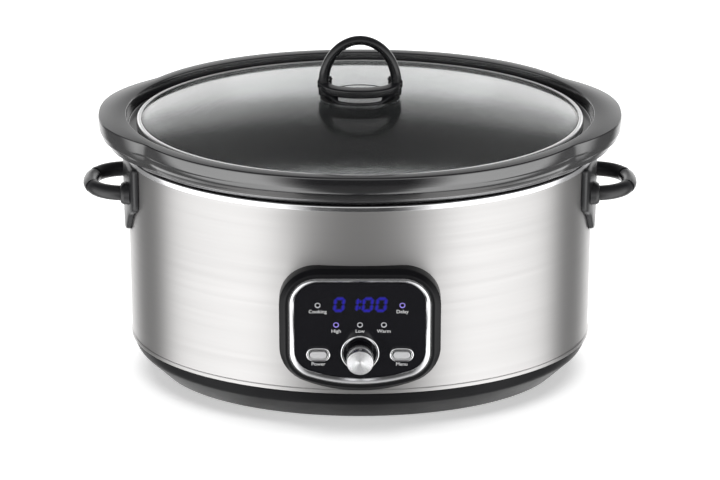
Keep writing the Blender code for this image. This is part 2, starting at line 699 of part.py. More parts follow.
def loop_route(side):
    """From one arm's root, inside the wall, round the tip and back to the other."""
    root = wall_reach(ARM_Y) - 0.005
    start = root + 0.007
    length = WALL_X + HANDLE_REACH - HANDLE_RADIUS - start
    bow = []
    for i in range(LOOP_STEPS + 1):
        angle = math.pi * i / LOOP_STEPS
        out = math.sin(angle) ** (2 / LOOP_POWER)
        across = math.copysign(abs(math.cos(angle)) ** (2 / LOOP_POWER), math.cos(angle))
        bow.append((start + length * out, ARM_Y * across))
    points = [(root, ARM_Y)] + bow + [(root, -ARM_Y)]
    return [(side * x, y, HANDLE_Z) for x, y in points]


def side_handle(side, tag):
    outer = oval_solid(f"plate_outer_{tag}", PLATE_SKIN, HANDLE_Z - 0.1, HANDLE_Z + 0.1)
    inner = oval_solid(f"plate_inner_{tag}", GAP, HANDLE_Z - 0.12, HANDLE_Z + 0.12)
    turn = (math.pi / 2, 0, math.pi / 2)  # outline's x along y, its y along z
    low, high = (WALL_X - 0.03, WALL_X + 0.02) if side > 0 else (-WALL_X - 0.02, -WALL_X + 0.03)
    mesh = plate_mesh(f"side_handle_{tag}", plate_outline(), low, high)
    handle = add(f"side_handle_{tag}", mesh, "handle_plastic", location=(0, 0, HANDLE_Z), rotation=turn)
    boolean(handle, outer, "INTERSECT")
    mesh = tube_mesh(f"handle_loop_{tag}", loop_route(side), HANDLE_RADIUS)
    loop = add(f"handle_loop_{tag}", mesh, None)
    join(handle, loop)
    cut(handle, inner)
    for i, y in enumerate((-ARM_Y, ARM_Y), 1):
        seat = wall_reach(abs(y) + SCREW_HEAD_RADIUS, -WALL_SKIN) - GAP
        face_out = (0, side * math.pi / 2, 0)
        place = (side * seat, y, HANDLE_Z)
        bore = rod_mesh("handle_bore", SCREW_RADIUS + GAP, -0.005, HANDLE_SCREW_LENGTH + GAP, 16)
        cut(handle, add(f"handle_bore_{tag}_{i}", bore, None, location=place, rotation=face_out))
        size = (SCREW_RADIUS, HANDLE_SCREW_LENGTH, SCREW_HEAD_RADIUS, 0.002)
        screw(f"handle_screw_{tag}_{i}", *size, COOKER, place, face_out)


# ---- Control panel -------------------------------------------------------------------------------------
def panel_bezel():
    land = FACE_BACK - GAP
    back = WALL_Y * 0.85
    rings = [
        level(bezel_outline(), back),
        level(bezel_outline(), PANEL_FRONT - PANEL_SLOPE_DEPTH),
        level(bezel_outline(0.0012), PANEL_FRONT - PANEL_SLOPE_DEPTH / 3),
        level(trim_outline(-0.0030), PANEL_FRONT),
        level(trim_outline(-GAP), PANEL_FRONT),
        level(trim_outline(-GAP), land),
        level(trim_outline(TRIM_WIDTH + LAND_WIDTH), land),
        level(trim_outline(TRIM_WIDTH + LAND_WIDTH), back),
    ]
    bezel = add("panel_bezel", loft_mesh("panel_bezel", rings, False), "bezel_plastic", PANEL)
    cut(bezel, oval_solid("bezel_back", GAP, 0, WALL_TOP_Z))


def panel_trim():
    """Chrome ring that slopes in from the bezel's front to the face."""
    rings = [
        level(trim_outline(), FACE_BACK),
        level(trim_outline(), PANEL_FRONT),
        level(trim_outline(0.0006), PANEL_FRONT + 0.0004),
        level(trim_outline(TRIM_WIDTH - 0.0006), FACE_FRONT + 0.0006),
        level(trim_outline(TRIM_WIDTH), FACE_FRONT),
        level(trim_outline(TRIM_WIDTH), FACE_BACK),
    ]
    add("panel_trim", loft_mesh("panel_trim", rings, False), "chrome", PANEL)


def light_places():
    upper = [(-UPPER_LIGHT_X, UPPER_LIGHT_Z), (UPPER_LIGHT_X, UPPER_LIGHT_Z)]
    return upper + [(x, LOWER_LIGHT_Z) for x in (-LOWER_LIGHT_X, 0, LOWER_LIGHT_X)]


def panel_face():
    mesh = plate_mesh("panel_face", trim_outline(TRIM_WIDTH + GAP), FACE_BACK, FACE_FRONT)
    face = add("panel_face", mesh, "face_gloss", PANEL)
    well_radius, well_floor = KNOB_RING_RADIUS - KNOB_RING_WIDTH, FACE_FRONT - KNOB_WELL_DEPTH
    well = rod_mesh("knob_well", well_radius, well_floor, PANEL_FRONT, 32)
    shaft = rod_mesh("shaft_hole", SHAFT_RADIUS + 2 * GAP, 0, PANEL_FRONT)
    cut(face, add("knob_well", well, None, PANEL, (0, CONTROL_Z, 0)))
    cut(face, add("shaft_hole", shaft, None, PANEL, (0, CONTROL_Z, 0)))
    for name, place in zip(LIGHT_NAMES, light_places()):
        hole = rod_mesh("light_hole", LIGHT_RADIUS + GAP, 0, PANEL_FRONT, 16)
        cut(face, add(f"light_hole_{name}", hole, None, PANEL, (*place, 0)))
    for name, x in BUTTONS.items():
        grow = 2 * GAP + BUTTON_RING_WALL
        shape = stadium(BUTTON_HALF_LENGTH + grow, BUTTON_HALF_HEIGHT + grow)
        hole = plate_mesh("button_hole", shape, 0, PANEL_FRONT)
        cut(face, add(f"button_hole_{name}", hole, None, PANEL, (x, BUTTON_Z, 0)))


def indicators():
    for name, (x, z) in zip(LIGHT_NAMES, light_places()):
        low, high = FACE_BACK - 0.001, FACE_FRONT + 0.0001
        light = rod_mesh(f"indicator_{name}", LIGHT_RADIUS, low, high, 16)
        add(f"indicator_{name}", light, "indicator", PANEL, (x, z, 0))


def display_and_board():
    half_x, half_z = DISPLAY_SIZE[0] / 2, DISPLAY_SIZE[1] / 2
    low = (-half_x, DISPLAY_Z - half_z, BOARD_FRONT + GAP)
    high = (half_x, DISPLAY_Z + half_z, FACE_BACK - 2 * GAP)
    add("display_module", box_mesh("display_module", low, high), "display", PANEL)
    outline = trim_outline(TRIM_WIDTH + LAND_WIDTH + 0.001)
    board = plate_mesh("control_board", outline, BOARD_FRONT - BOARD_SKIN, BOARD_FRONT)
    add("control_board", board, "board", PANEL)


def knob():
    ring_low = FACE_FRONT + GAP
    outer, inner = KNOB_RING_RADIUS, KNOB_RING_RADIUS - KNOB_RING_WIDTH
    crown = ring_low + 0.0014
    profile = [(inner, ring_low + 0.0010), (inner + 0.0006, crown), (outer - 0.0005, crown)]
    profile += [(outer, ring_low + 0.0009), (outer, ring_low), (inner, ring_low)]
    turned("knob_ring", profile, "chrome", PANEL, (0, CONTROL_Z, 0), ring=True, steps=24)

    back = KNOB_FRONT - KNOB_LENGTH
    bore = SHAFT_RADIUS + GAP
    shaft_front = KNOB_FRONT - KNOB_LENGTH * 0.4
    edge = 0.0006
    profile = [(0, KNOB_FRONT), (KNOB_RADIUS - edge, KNOB_FRONT), (KNOB_RADIUS, KNOB_FRONT - edge)]
    profile += [(KNOB_RADIUS, back), (bore, back), (bore, shaft_front + GAP), (0, shaft_front + GAP)]
    turned("knob", profile, "knob_aluminium", KNOB_TURN, steps=24)
    low = FACE_FRONT + GAP
    profile = [(bore, back - GAP), (0.0078, back - GAP), (0.0092, low), (bore, low)]
    turned("knob_skirt", profile, "bezel_plastic", KNOB_TURN, ring=True, steps=24)
    shaft_back = BOARD_FRONT + 2 * GAP
    profile = [(0, shaft_front), (SHAFT_RADIUS, shaft_front), (SHAFT_RADIUS, shaft_back), (0, shaft_back)]
    turned("encoder_shaft", profile, "screw_steel", KNOB_TURN, steps=20)

    half = 0.006
    low, high = (-half, -half, BOARD_FRONT + GAP), (half, half, FACE_BACK - GAP)
    body = add("encoder_body", box_mesh("encoder_body", low, high), "component", PANEL, (0, CONTROL_Z, 0))
    hole = rod_mesh("encoder_bore", SHAFT_RADIUS + GAP, 0, FACE_FRONT)
    cut(body, add("encoder_bore", hole, None, PANEL, (0, CONTROL_Z, 0)))


def button(name, x):
    centre = (x, BUTTON_Z, 0)
    inner = (BUTTON_HALF_LENGTH + GAP, BUTTON_HALF_HEIGHT + GAP)
    sleeve = [size + BUTTON_RING_WALL for size in inner]
    flange = [size + BUTTON_RING_FLANGE - GAP for size in inner]
    low = FACE_FRONT + GAP
    rings = [
        level(stadium(*flange), low),
        level(stadium(*flange), low + 0.0010),
        level(stadium(*[size - 0.0006 for size in flange]), low + 0.0014),
        level(stadium(*[size + 0.0004 for size in inner]), low + 0.0012),
        level(stadium(*inner), low + 0.0006),
        level(stadium(*inner), FACE_BACK),
        level(stadium(*sleeve), FACE_BACK),
        level(stadium(*sleeve), low),
    ]
    add(f"{name}_button_ring", loft_mesh(f"{name}_button_ring", rings, False), "chrome", PANEL, centre)

    axis = empty(f"{name}_button_axis", PANEL, (x, BUTTON_Z, FACE_FRONT))
    shape = (BUTTON_HALF_LENGTH, BUTTON_HALF_HEIGHT)
    crown = [size - 0.0008 for size in shape]
    front, back = BUTTON_PROUD, -FACE_SKIN * 0.7
    rings = [
        level(stadium(*shape), back),
        level(stadium(*shape), front - 0.0006),
        level(stadium(*crown), front),
    ]
    cap = add(f"{name}_button", loft_mesh(f"{name}_button", rings, True), "chrome", axis)
    switch_top = BOARD_FRONT - FACE_FRONT + 0.0028
    stem = rod_mesh("button_stem", 0.0015, switch_top + BUTTON_TRAVEL + 0.0001, back + 0.0005, 12)
    join(cap, add(f"{name}_button_stem", stem, None, axis))

    low, high = (-0.003, -0.003, BOARD_FRONT + GAP), (0.003, 0.003, BOARD_FRONT + 0.0022)
    switch = add(f"{name}_switch", box_mesh(f"{name}_switch", low, high), "component", PANEL, centre)
    plunger = rod_mesh("switch_plunger", 0.0013, BOARD_FRONT + 0.0015, BOARD_FRONT + 0.0028, 12)
    join(switch, add(f"{name}_switch_plunger", plunger, None, PANEL, centre))


# ---- Crock and lid ---------------------------------------------------------------------------------------
def crock():
    """Stoneware pot hanging by its rim on the bead, with two ears and a ledge for the lid."""
    seat, top, low = CROCK_SEAT_Z, CROCK_TOP_Z, CROCK_LOW_Z
    depth = seat - low
    body = CROCK_BODY
    tapered = body - CROCK_TAPER
    inner_x, inner_y = 0, RIM_FLARE_Y - RIM_FRONT_WIDTH
    rings = [
        wall_oval(tapered - 0.024, low),
        wall_oval(tapered - 0.012, low + 0.001),
        wall_oval(tapered - 0.004, low + 0.006),
        wall_oval(tapered, low + 0.018),
        wall_oval(body - CROCK_TAPER * 0.4, low + depth * 0.5),
        wall_oval(body, seat),
        wall_oval(-0.0015, seat),
    ]
    flare = ((0.12, 0.16, 0.30), (0.30, 0.50, 0.72), (0.55, 0.88, 0.93), (0.76, 1.0, 1.0), (0.95, 1.0, 1.0))
    for rise, out, ear in flare:
        z = seat + RIM_HEIGHT * rise
        rings.append(wall_oval(RIM_FLARE_X * out, z, RIM_FLARE_Y * out, EAR_LENGTH * ear))
    rings += [
        wall_oval(RIM_FLARE_X - 0.001, top, RIM_FLARE_Y - 0.001, EAR_LENGTH - 0.001),
        wall_oval(inner_x + 0.0005, top, inner_y + 0.0005),
        wall_oval(inner_x - 0.0005, top - 0.001, inner_y - 0.0005),
        wall_oval(inner_x - 0.0015, LEDGE_Z, inner_y - 0.0015),
        wall_oval(body, LEDGE_Z, inner_y - 0.017),
        wall_oval(body - CROCK_SKIN * 0.5, LEDGE_Z - 0.003, body + CROCK_SKIN * 0.6),
        wall_oval(body - CROCK_SKIN, seat - 0.004),
        wall_oval(body - CROCK_SKIN - CROCK_TAPER * 0.4, low + depth * 0.5),
        wall_oval(tapered - CROCK_SKIN, low + 0.026),
        wall_oval(tapered - CROCK_SKIN - 0.008, low + CROCK_FLOOR_SKIN + 0.003),
        wall_oval(tapered - CROCK_SKIN - 0.018, low + CROCK_FLOOR_SKIN),
    ]
    add("crock", loft_mesh("crock", [shifted(ring, -seat) for ring in rings], True), "glaze", CROCK_LIFT)


def shifted(ring, rise):
    return [(x, y, z + rise) for x, y, z in ring]


def glass_levels():
    """(share of the brim's oval, height of the upper face) from the brim to the centre."""
    brim = GLASS_LOW_Z + GLASS_SKIN
    shares = (1, 0.95, 0.82, 0.63, 0.38, 0.13)
    return [(share, brim + DOME_HEIGHT * (1 - share**2) ** 0.8) for share in shares]


def lid_glass():
    edge = -(LID_RIM_SKIN + GAP)
    brim_x, brim_y = LID_X - BRIM_WIDTH, LID_Y - BRIM_WIDTH
    upper = [oval(brim_x * share, brim_y * share, z) for share, z in glass_levels()]
    lower = [shifted(ring, -GLASS_SKIN) for ring in upper]
    rings = list(reversed(lower))
    rings += [lid_oval(edge - 0.0005, GLASS_LOW_Z), lid_oval(edge, GLASS_LOW_Z + 0.0005)]
    top = GLASS_LOW_Z + GLASS_SKIN
    rings += [lid_oval(edge, top - 0.0005), lid_oval(edge - 0.0005, top)] + upper
    mesh = loft_mesh("lid_glass", [shifted(ring, -LID_LOW_Z) for ring in rings], True)
    glass = add("lid_glass", mesh, "glass", LID_LIFT)
    for side, tag in ((1, "right"), (-1, "left")):
        hole = rod_mesh("glass_hole", SCREW_RADIUS + GAP, 0, 0.04, 16)
        cut(glass, add(f"glass_hole_{tag}", hole, None, LID_LIFT, (side * LID_SCREW_X, 0, 0)))


def lid_rim():
    """Steel channel round the glass."""
    low, high = LID_LOW_Z, LID_LOW_Z + LID_RIM_HEIGHT
    slot_low, slot_high = low + LID_RIM_SKIN, high - LID_RIM_SKIN
    lip, wall = -LID_RIM_WIDTH, -LID_RIM_SKIN
    profile = [(lip, low), (-0.0006, low), (0, low + 0.0006)]
    profile += [(0, high - 0.0008), (-0.0008, high), (lip, high)]
    profile += [(lip, slot_high), (wall, slot_high), (wall, slot_low), (lip, slot_low)]
    rings = [lid_oval(grow, z - LID_LOW_Z) for grow, z in profile]
    add("lid_rim", loft_mesh("lid_rim", rings, False), "bright_steel", LID_LIFT)


def ellipse(half_x, half_y, z, count=28):
    turns = [2 * math.pi * i / count for i in range(count)]
    return [(half_x * math.cos(a), half_y * math.sin(a), z) for a in turns]


def lid_handle():
    """Arch on an oval dish, with a bar bowed forward from leg to leg above the dish's edge."""
    base = empty("lid_handle_foot", LID_LIFT, (0, 0, LOOP_FOOT_Z - LID_LOW_Z))
    x, y = DISH_HALF_X, DISH_HALF_Y
    rings = [
        ellipse(x - 0.001, y - 0.001, 0),
        ellipse(x, y, 0.001),
        ellipse(x, y, DISH_HEIGHT),
        ellipse(x - DISH_EDGE, y - DISH_EDGE, DISH_HEIGHT),
        ellipse(x - DISH_EDGE - 0.001, y - DISH_EDGE - 0.001, DISH_FLOOR),
    ]
    handle = add("lid_handle", loft_mesh("lid_handle", rings, True), "lid_handle_plastic", base)

    spring, across = LOOP_SPRING_Z, LOOP_HALF_WIDTH
    turns = [math.pi * i / 12 for i in range(13)]
    arch = [(across * math.cos(a), 0, spring + LOOP_HEIGHT * math.sin(a)) for a in turns]
    arch = [(across, 0, DISH_FLOOR / 2)] + arch + [(-across, 0, DISH_FLOOR / 2)]
    swell = [LEG_SWELL] + [LEG_SWELL - (LEG_SWELL - 1) * math.sin(a) for a in turns] + [LEG_SWELL]
    turns = [math.pi * i / 10 for i in range(11)]
    bow = [(across * math.cos(a), -BAR_REACH * math.sin(a), BAR_Z) for a in turns]
    arch_mesh = tube_mesh("lid_handle_arch", arch, LOOP_RADIUS, swell, sides=3)
    bar_mesh = tube_mesh("lid_handle_bar", bow, BAR_RADIUS, sides=2)
    join(handle, add("lid_handle_arch", arch_mesh, None, base))
    join(handle, add("lid_handle_bar", bar_mesh, None, base))
    for side, tag in ((1, "right"), (-1, "left")):
        turn = (0, side * math.pi / 2, 0)
        boss = rod_mesh("pivot_boss", PIVOT_BOSS_RADIUS, across - 0.002, PIVOT_BOSS_REACH, 16)
        join(handle, add(f"pivot_boss_{tag}", boss, None, base, (0, 0, spring), turn))
        bore = rod_mesh("post_bore", SCREW_RADIUS + GAP, -0.005, spring, 16)
        cut(handle, add(f"post_bore_{tag}", bore, None, base, (side * LID_SCREW_X, 0, 0)))


def lid_handle_fixings():
    gasket_low = GLASS_TOP_Z + GAP - LID_LOW_Z
    rings = [ellipse(DISH_HALF_X + 0.002, DISH_HALF_Y + 0.001, gasket_low + z) for z in (0, GASKET_SKIN)]
    gasket = add("lid_handle_gasket", loft_mesh("lid_handle_gasket", rings, True), "foot_rubber", LID_LIFT)
    under = GLASS_TOP_Z - GLASS_SKIN - LID_LOW_Z - 0.001
    length = LOOP_FOOT_Z + LOOP_SPRING_Z - 0.0015 - (under + LID_LOW_Z)
    for side, tag in ((1, "right"), (-1, "left")):
        place = (side * LID_SCREW_X, 0, under)
        hole = rod_mesh("gasket_hole", SCREW_RADIUS + GAP, 0, 0.04, 16)
        cut(gasket, add(f"gasket_hole_{tag}", hole, None, LID_LIFT, (side * LID_SCREW_X, 0, 0)))
        size = (SCREW_RADIUS, length, SCREW_HEAD_RADIUS, 0.0016)
        screw(f"lid_handle_screw_{tag}", *size, LID_LIFT, place, (0, 0, 0))


def build():
    base_skirt()
    bottom_cover()
    feet()
    cover_screws()
    housing_wall()
    inner_liner()
    heater_band()
    liner_fittings()
    power_electronics()
    cord_bush()
    for side, tag in ((1, "right"), (-1, "left")):
        side_handle(side, tag)
    panel_bezel()
    panel_trim()
    panel_face()
    indicators()
    display_and_board()
    knob()
    for name, x in BUTTONS.items():
        button(name, x)
    crock()
    lid_glass()
    lid_rim()
    lid_handle()
    lid_handle_fixings()


build()
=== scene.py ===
import math

import bmesh
import bpy
from mathutils import Matrix, Vector


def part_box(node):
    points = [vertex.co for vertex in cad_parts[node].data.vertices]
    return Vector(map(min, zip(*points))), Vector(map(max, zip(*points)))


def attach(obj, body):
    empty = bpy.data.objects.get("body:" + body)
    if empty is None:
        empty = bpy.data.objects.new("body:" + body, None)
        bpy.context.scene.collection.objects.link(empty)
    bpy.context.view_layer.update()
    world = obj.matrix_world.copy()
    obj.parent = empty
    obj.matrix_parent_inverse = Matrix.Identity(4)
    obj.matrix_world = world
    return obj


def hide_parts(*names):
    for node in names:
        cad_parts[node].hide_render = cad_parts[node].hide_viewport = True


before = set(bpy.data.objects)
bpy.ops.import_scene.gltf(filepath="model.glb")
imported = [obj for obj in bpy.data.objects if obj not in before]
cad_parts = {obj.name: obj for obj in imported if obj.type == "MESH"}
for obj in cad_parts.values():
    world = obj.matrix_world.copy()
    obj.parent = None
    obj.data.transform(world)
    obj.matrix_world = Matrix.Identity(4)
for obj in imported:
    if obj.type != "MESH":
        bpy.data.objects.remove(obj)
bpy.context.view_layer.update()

scene = bpy.context.scene
scene.view_settings.view_transform = "Standard"

# Sizes that the pieces share, taken from the frame's own boxes.
wallLow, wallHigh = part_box("housing_wall")
linerLow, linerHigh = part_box("inner_liner")
crockLow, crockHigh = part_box("crock")
skirtLow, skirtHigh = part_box("base_skirt")
lidLow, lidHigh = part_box("lid_rim")
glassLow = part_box("lid_glass")[0]
hemProud = 0.0005  # the wall's hem stands out this far past its face
mergeDistance = 1e-6
gap = 0.0003  # clearance between neighbouring pieces
cookerY = (wallLow.y + wallHigh.y) / 2
wallX = wallHigh.x - hemProud
wallY = (wallHigh.y - wallLow.y) / 2 - hemProud
print("frame loaded: wall", round(wallX * 2, 4), "by", round(wallY * 2, 4))


view = {"target": (0, 0.0053, 0.108), "elevation": 24.0, "distance": 2.6, "lens": 164.6, "sensor": 36}


def placeCamera():
    lens = bpy.data.cameras.new("studioCamera")
    lens.lens = view["lens"]
    lens.sensor_width = view["sensor"]
    camera = bpy.data.objects.new("studioCamera", lens)
    scene.collection.objects.link(camera)
    tilt = math.radians(view["elevation"])
    back = Vector((0, -math.cos(tilt), math.sin(tilt)))
    camera.location = Vector(view["target"]) + back * view["distance"]
    camera.rotation_euler = (math.radians(90 - view["elevation"]), 0, 0)
    scene.camera = camera


# Brightness round the cooker. "around", "lowAway" and "highAway" run from the front (0) to the back (1).
# "centre", "front" and "rear" run from straight down (0) to straight up (1).
studio = {
    "peak": 3.6,
    "around": [(0, 0.3), (0.1, 0.7), (0.19, 1.0), (0.44, 0.88), (0.54, 0.14), (0.68, 0.14), (0.8, 0.8),
               (0.91, 0.95), (1, 0.45)],
    "centre": [(0, 0.05), (0.2, 0.07), (0.28, 0.06), (0.33, 0.02), (0.42, 0.02), (0.47, 0.3), (0.62, 0.3),
               (0.75, 0.08), (1, 0.05)],
    "front": [(0, 0.5), (0.15, 0.8), (0.28, 1.0), (0.42, 1.0), (0.5, 0.75), (0.6, 0.35), (0.72, 0.05),
              (1, 0.04)],
    "rear": [(0, 0.1), (0.1, 0.12), (0.2, 0.85), (0.35, 0.8), (0.42, 0.45), (0.47, 0.9), (0.58, 0.88),
             (0.64, 0.42), (0.69, 0.1), (1, 0.03)],
    "lowAway": [(0.075, 0), (0.2, 1)],
    "highAway": [(0, 0), (0.09, 1)],
    "rearShare": [(0.55, 0), (0.75, 1)],
    "highShare": [(0.42, 0), (0.5, 1)],
    "backdrop": 1.0,
}
softbox = {"power": 52.0, "size": 2.4, "place": (0, 0.1, 2.0)}


def rampNode(nodes, stops):
    ramp = nodes.new("ShaderNodeValToRGB")
    ramp.color_ramp.interpolation = "EASE"
    elements = ramp.color_ramp.elements
    while len(elements) < len(stops):
        elements.new(0.5)
    for element, (place, value) in zip(elements, stops):
        element.position = place
        element.color = (value, value, value, 1)
    return ramp


def mathNode(tree, operation, first, second=None):
    node = tree.nodes.new("ShaderNodeMath")
    node.operation = operation
    for socket, value in zip(node.inputs, (first, second)):
        if value is None:
            continue
        if isinstance(value, (int, float)):
            socket.default_value = value
        else:
            tree.links.new(value, socket)
    return node.outputs[0]


def lightStudio():
    world = bpy.data.worlds.new("studio")
    scene.world = world
    world.use_nodes = True
    tree = world.node_tree
    nodes, links = tree.nodes, tree.links
    nodes.clear()
    out = nodes.new("ShaderNodeOutputWorld")
    where = nodes.new("ShaderNodeTexCoord")
    split = nodes.new("ShaderNodeSeparateXYZ")
    links.new(where.outputs["Generated"], split.inputs[0])
    x, y, z = split.outputs
    sideways = mathNode(tree, "ABSOLUTE", x)
    turn = mathNode(tree, "ARCTAN2", sideways, mathNode(tree, "MULTIPLY", y, -1.0))
    turned = mathNode(tree, "DIVIDE", turn, math.pi)
    around = rampNode(nodes, studio["around"])
    links.new(turned, around.inputs[0])
    rise = mathNode(tree, "DIVIDE", mathNode(tree, "ARCSINE", z), math.pi)
    height = mathNode(tree, "ADD", rise, 0.5)
    front, rear = rampNode(nodes, studio["front"]), rampNode(nodes, studio["rear"])
    links.new(height, front.inputs[0])
    links.new(height, rear.inputs[0])
    share = rampNode(nodes, studio["rearShare"])
    links.new(turned, share.inputs[0])
    blend = nodes.new("ShaderNodeMix")
    links.new(share.outputs[0], blend.inputs["Factor"])
    links.new(front.outputs[0], blend.inputs["A"])
    links.new(rear.outputs[0], blend.inputs["B"])
    beside = mathNode(tree, "MULTIPLY", around.outputs[0], blend.outputs["Result"])
    # Low down, the dark stretch in front is wider than it is higher up.
    centre, lift = rampNode(nodes, studio["centre"]), rampNode(nodes, studio["highShare"])
    links.new(height, centre.inputs[0])
    links.new(height, lift.inputs[0])
    away = nodes.new("ShaderNodeMix")
    links.new(lift.outputs[0], away.inputs["Factor"])
    for stops, socket in ((studio["lowAway"], "A"), (studio["highAway"], "B")):
        ramp = rampNode(nodes, stops)
        links.new(turned, ramp.inputs[0])
        links.new(ramp.outputs[0], away.inputs[socket])
    level = nodes.new("ShaderNodeMix")
    links.new(away.outputs["Result"], level.inputs["Factor"])
    links.new(centre.outputs[0], level.inputs["A"])
    links.new(beside, level.inputs["B"])
    lit = nodes.new("ShaderNodeBackground")
    links.new(mathNode(tree, "MULTIPLY", level.outputs["Result"], studio["peak"]), lit.inputs["Strength"])
    white = nodes.new("ShaderNodeBackground")
    white.inputs["Color"].default_value = (1, 1, 1, 1)
    white.inputs["Strength"].default_value = studio["backdrop"]
    ray = nodes.new("ShaderNodeLightPath")
    choose = nodes.new("ShaderNodeMixShader")
    links.new(ray.outputs["Is Camera Ray"], choose.inputs[0])
    links.new(lit.outputs[0], choose.inputs[1])
    links.new(white.outputs[0], choose.inputs[2])
    links.new(choose.outputs[0], out.inputs[0])


def hangSoftbox():
    lamp = bpy.data.lights.new("topSoftbox", "AREA")
    lamp.shape = "DISK"
    lamp.size = softbox["size"]
    lamp.energy = softbox["power"]
    top = bpy.data.objects.new("topSoftbox", lamp)
    top.location = softbox["place"]
    top.visible_glossy = False
    scene.collection.objects.link(top)


def blankFinish(name, sockets):
    # A new material with these sockets set on its shader.
    finish = bpy.data.materials.new(name)
    finish.use_nodes = True
    shader = finish.node_tree.nodes["Principled BSDF"]
    for socket, value in sockets.items():
        shader.inputs[socket].default_value = value
    return finish, finish.node_tree.nodes, finish.node_tree.links, shader


ground = {"radius": 9, "sockets": {"Base Color": (0.95, 0.95, 0.95, 1), "Emission Color": (1, 1, 1, 1),
                                   "Emission Strength": 0.45, "Roughness": 0.9, "Specular IOR Level": 0.0}}


def layFloor():
    bm = bmesh.new()
    bmesh.ops.create_circle(bm, cap_ends=True, segments=96, radius=ground["radius"])
    mesh = bpy.data.meshes.new("studioFloor")
    bm.to_mesh(mesh)
    bm.free()
    floor = bpy.data.objects.new("studioFloor", mesh)
    mesh.materials.append(blankFinish("floorWhite", ground["sockets"])[0])
    floor.visible_glossy = False
    scene.collection.objects.link(floor)


placeCamera()
lightStudio()
hangSoftbox()
layFloor()
print("studio ready")


# Each finish mixes two close colours in soft patches, and takes its roughness and its fine grain from noise.
finishes = {
    "brushedSteel": {"colours": ((0.50, 0.493, 0.489), (0.487, 0.48, 0.476)), "rough": (0.42, 0.45),
                     "metal": 1.0, "patch": 5, "stretch": (1, 1, 60), "grain": 60, "depth": 0.000002,
                     "sockets": {"Anisotropic": 0.82, "Anisotropic Rotation": 0.25}},
    "brightSteel": {"colours": ((0.94, 0.94, 0.94), (0.90, 0.90, 0.90)), "rough": (0.3, 0.36), "metal": 1.0,
                    "patch": 60, "grain": 900, "depth": 0.00001},
    "potMetal": {"colours": ((0.80, 0.80, 0.81), (0.74, 0.74, 0.75)), "rough": (0.16, 0.28), "metal": 1.0,
                 "patch": 40, "grain": 1200, "depth": 0.00001},
    "screwSteel": {"colours": ((0.60, 0.60, 0.61), (0.45, 0.45, 0.46)), "rough": (0.28, 0.42), "metal": 1.0,
                   "patch": 300, "grain": 2500, "depth": 0.00001},
    "heaterFoil": {"colours": ((0.78, 0.76, 0.70), (0.62, 0.60, 0.55)), "rough": (0.3, 0.45), "metal": 0.9,
                   "patch": 60, "grain": 500, "depth": 0.00015},
    "basePlastic": {"colours": ((0.006, 0.006, 0.007), (0.004, 0.004, 0.005)), "rough": (0.42, 0.5),
                    "patch": 30, "grain": 3200, "depth": 0.00003, "sockets": {"Specular IOR Level": 0.11}},
    "handlePlastic": {"colours": ((0.016, 0.016, 0.018), (0.010, 0.010, 0.011)), "rough": (0.28, 0.36),
                      "patch": 40, "grain": 2600, "depth": 0.00002},
    "bezelPlastic": {"colours": ((0.005, 0.005, 0.006), (0.003, 0.003, 0.004)), "rough": (0.34, 0.4),
                     "patch": 40, "grain": 2000, "depth": 0.00001, "sockets": {"Specular IOR Level": 0.2}},
    "lidHandlePlastic": {"colours": ((0.008, 0.008, 0.009), (0.005, 0.005, 0.006)), "rough": (0.2, 0.27),
                         "patch": 60, "grain": 2200, "depth": 0.00001},
    "coverPlastic": {"colours": ((0.030, 0.030, 0.031), (0.022, 0.022, 0.023)), "rough": (0.55, 0.7),
                     "patch": 30, "grain": 1500, "depth": 0.00008},
    "footRubber": {"colours": ((0.020, 0.020, 0.020), (0.012, 0.012, 0.012)), "rough": (0.75, 0.9),
                   "patch": 200, "grain": 2500, "depth": 0.00006},
    "chrome": {"colours": ((0.90, 0.90, 0.91), (0.86, 0.86, 0.87)), "rough": (0.07, 0.12), "metal": 1.0,
               "patch": 80, "grain": 1500, "depth": 0.000004},
    "satinChrome": {"colours": ((0.60, 0.60, 0.61), (0.56, 0.56, 0.57)), "rough": (0.2, 0.26), "metal": 1.0,
                    "patch": 80, "grain": 1500, "depth": 0.000004},
    "buttonSilver": {"colours": ((0.62, 0.62, 0.63), (0.56, 0.56, 0.57)), "rough": (0.4, 0.46), "metal": 0.35,
                     "patch": 300, "grain": 2500, "depth": 0.000004},
    "faceGloss": {"colours": ((0.010, 0.010, 0.012), (0.008, 0.008, 0.010)), "rough": (0.10, 0.15),
                  "patch": 30, "grain": 900, "depth": 0.000003},
    "blackGlaze": {"colours": ((0.010, 0.010, 0.011), (0.007, 0.007, 0.008)), "rough": (0.12, 0.17),
                   "patch": 16, "grain": 160, "depth": 0.00001,
                   "sockets": {"IOR": 1.6, "Specular IOR Level": 1.0}},
    "boardGreen": {"colours": ((0.03, 0.14, 0.06), (0.05, 0.20, 0.09)), "rough": (0.35, 0.5),
                   "patch": 400, "grain": 1500, "depth": 0.00004},
    "moulded": {"colours": ((0.10, 0.10, 0.11), (0.07, 0.07, 0.08)), "rough": (0.4, 0.55),
                "patch": 200, "grain": 2500, "depth": 0.00003},
}
madeFinishes = {}
patchDetail, grainDetail, grainStrength = 4, 3, 0.6
roughSpread = (0.3, 0.7)  # the part of the noise's range that runs from one roughness to the other


def bumped(nodes, links, shader, height, distance, strength):
    bump = nodes.new("ShaderNodeBump")
    bump.inputs["Distance"].default_value = distance
    bump.inputs["Strength"].default_value = strength
    links.new(height, bump.inputs["Height"])
    links.new(bump.outputs[0], shader.inputs["Normal"])


def twoTone(nodes, links, shader, factor, first, second):
    tint = nodes.new("ShaderNodeMix")
    tint.data_type = "RGBA"
    tint.inputs["A"].default_value = (*first, 1)
    tint.inputs["B"].default_value = (*second, 1)
    links.new(factor, tint.inputs["Factor"])
    links.new(tint.outputs["Result"], shader.inputs["Base Color"])


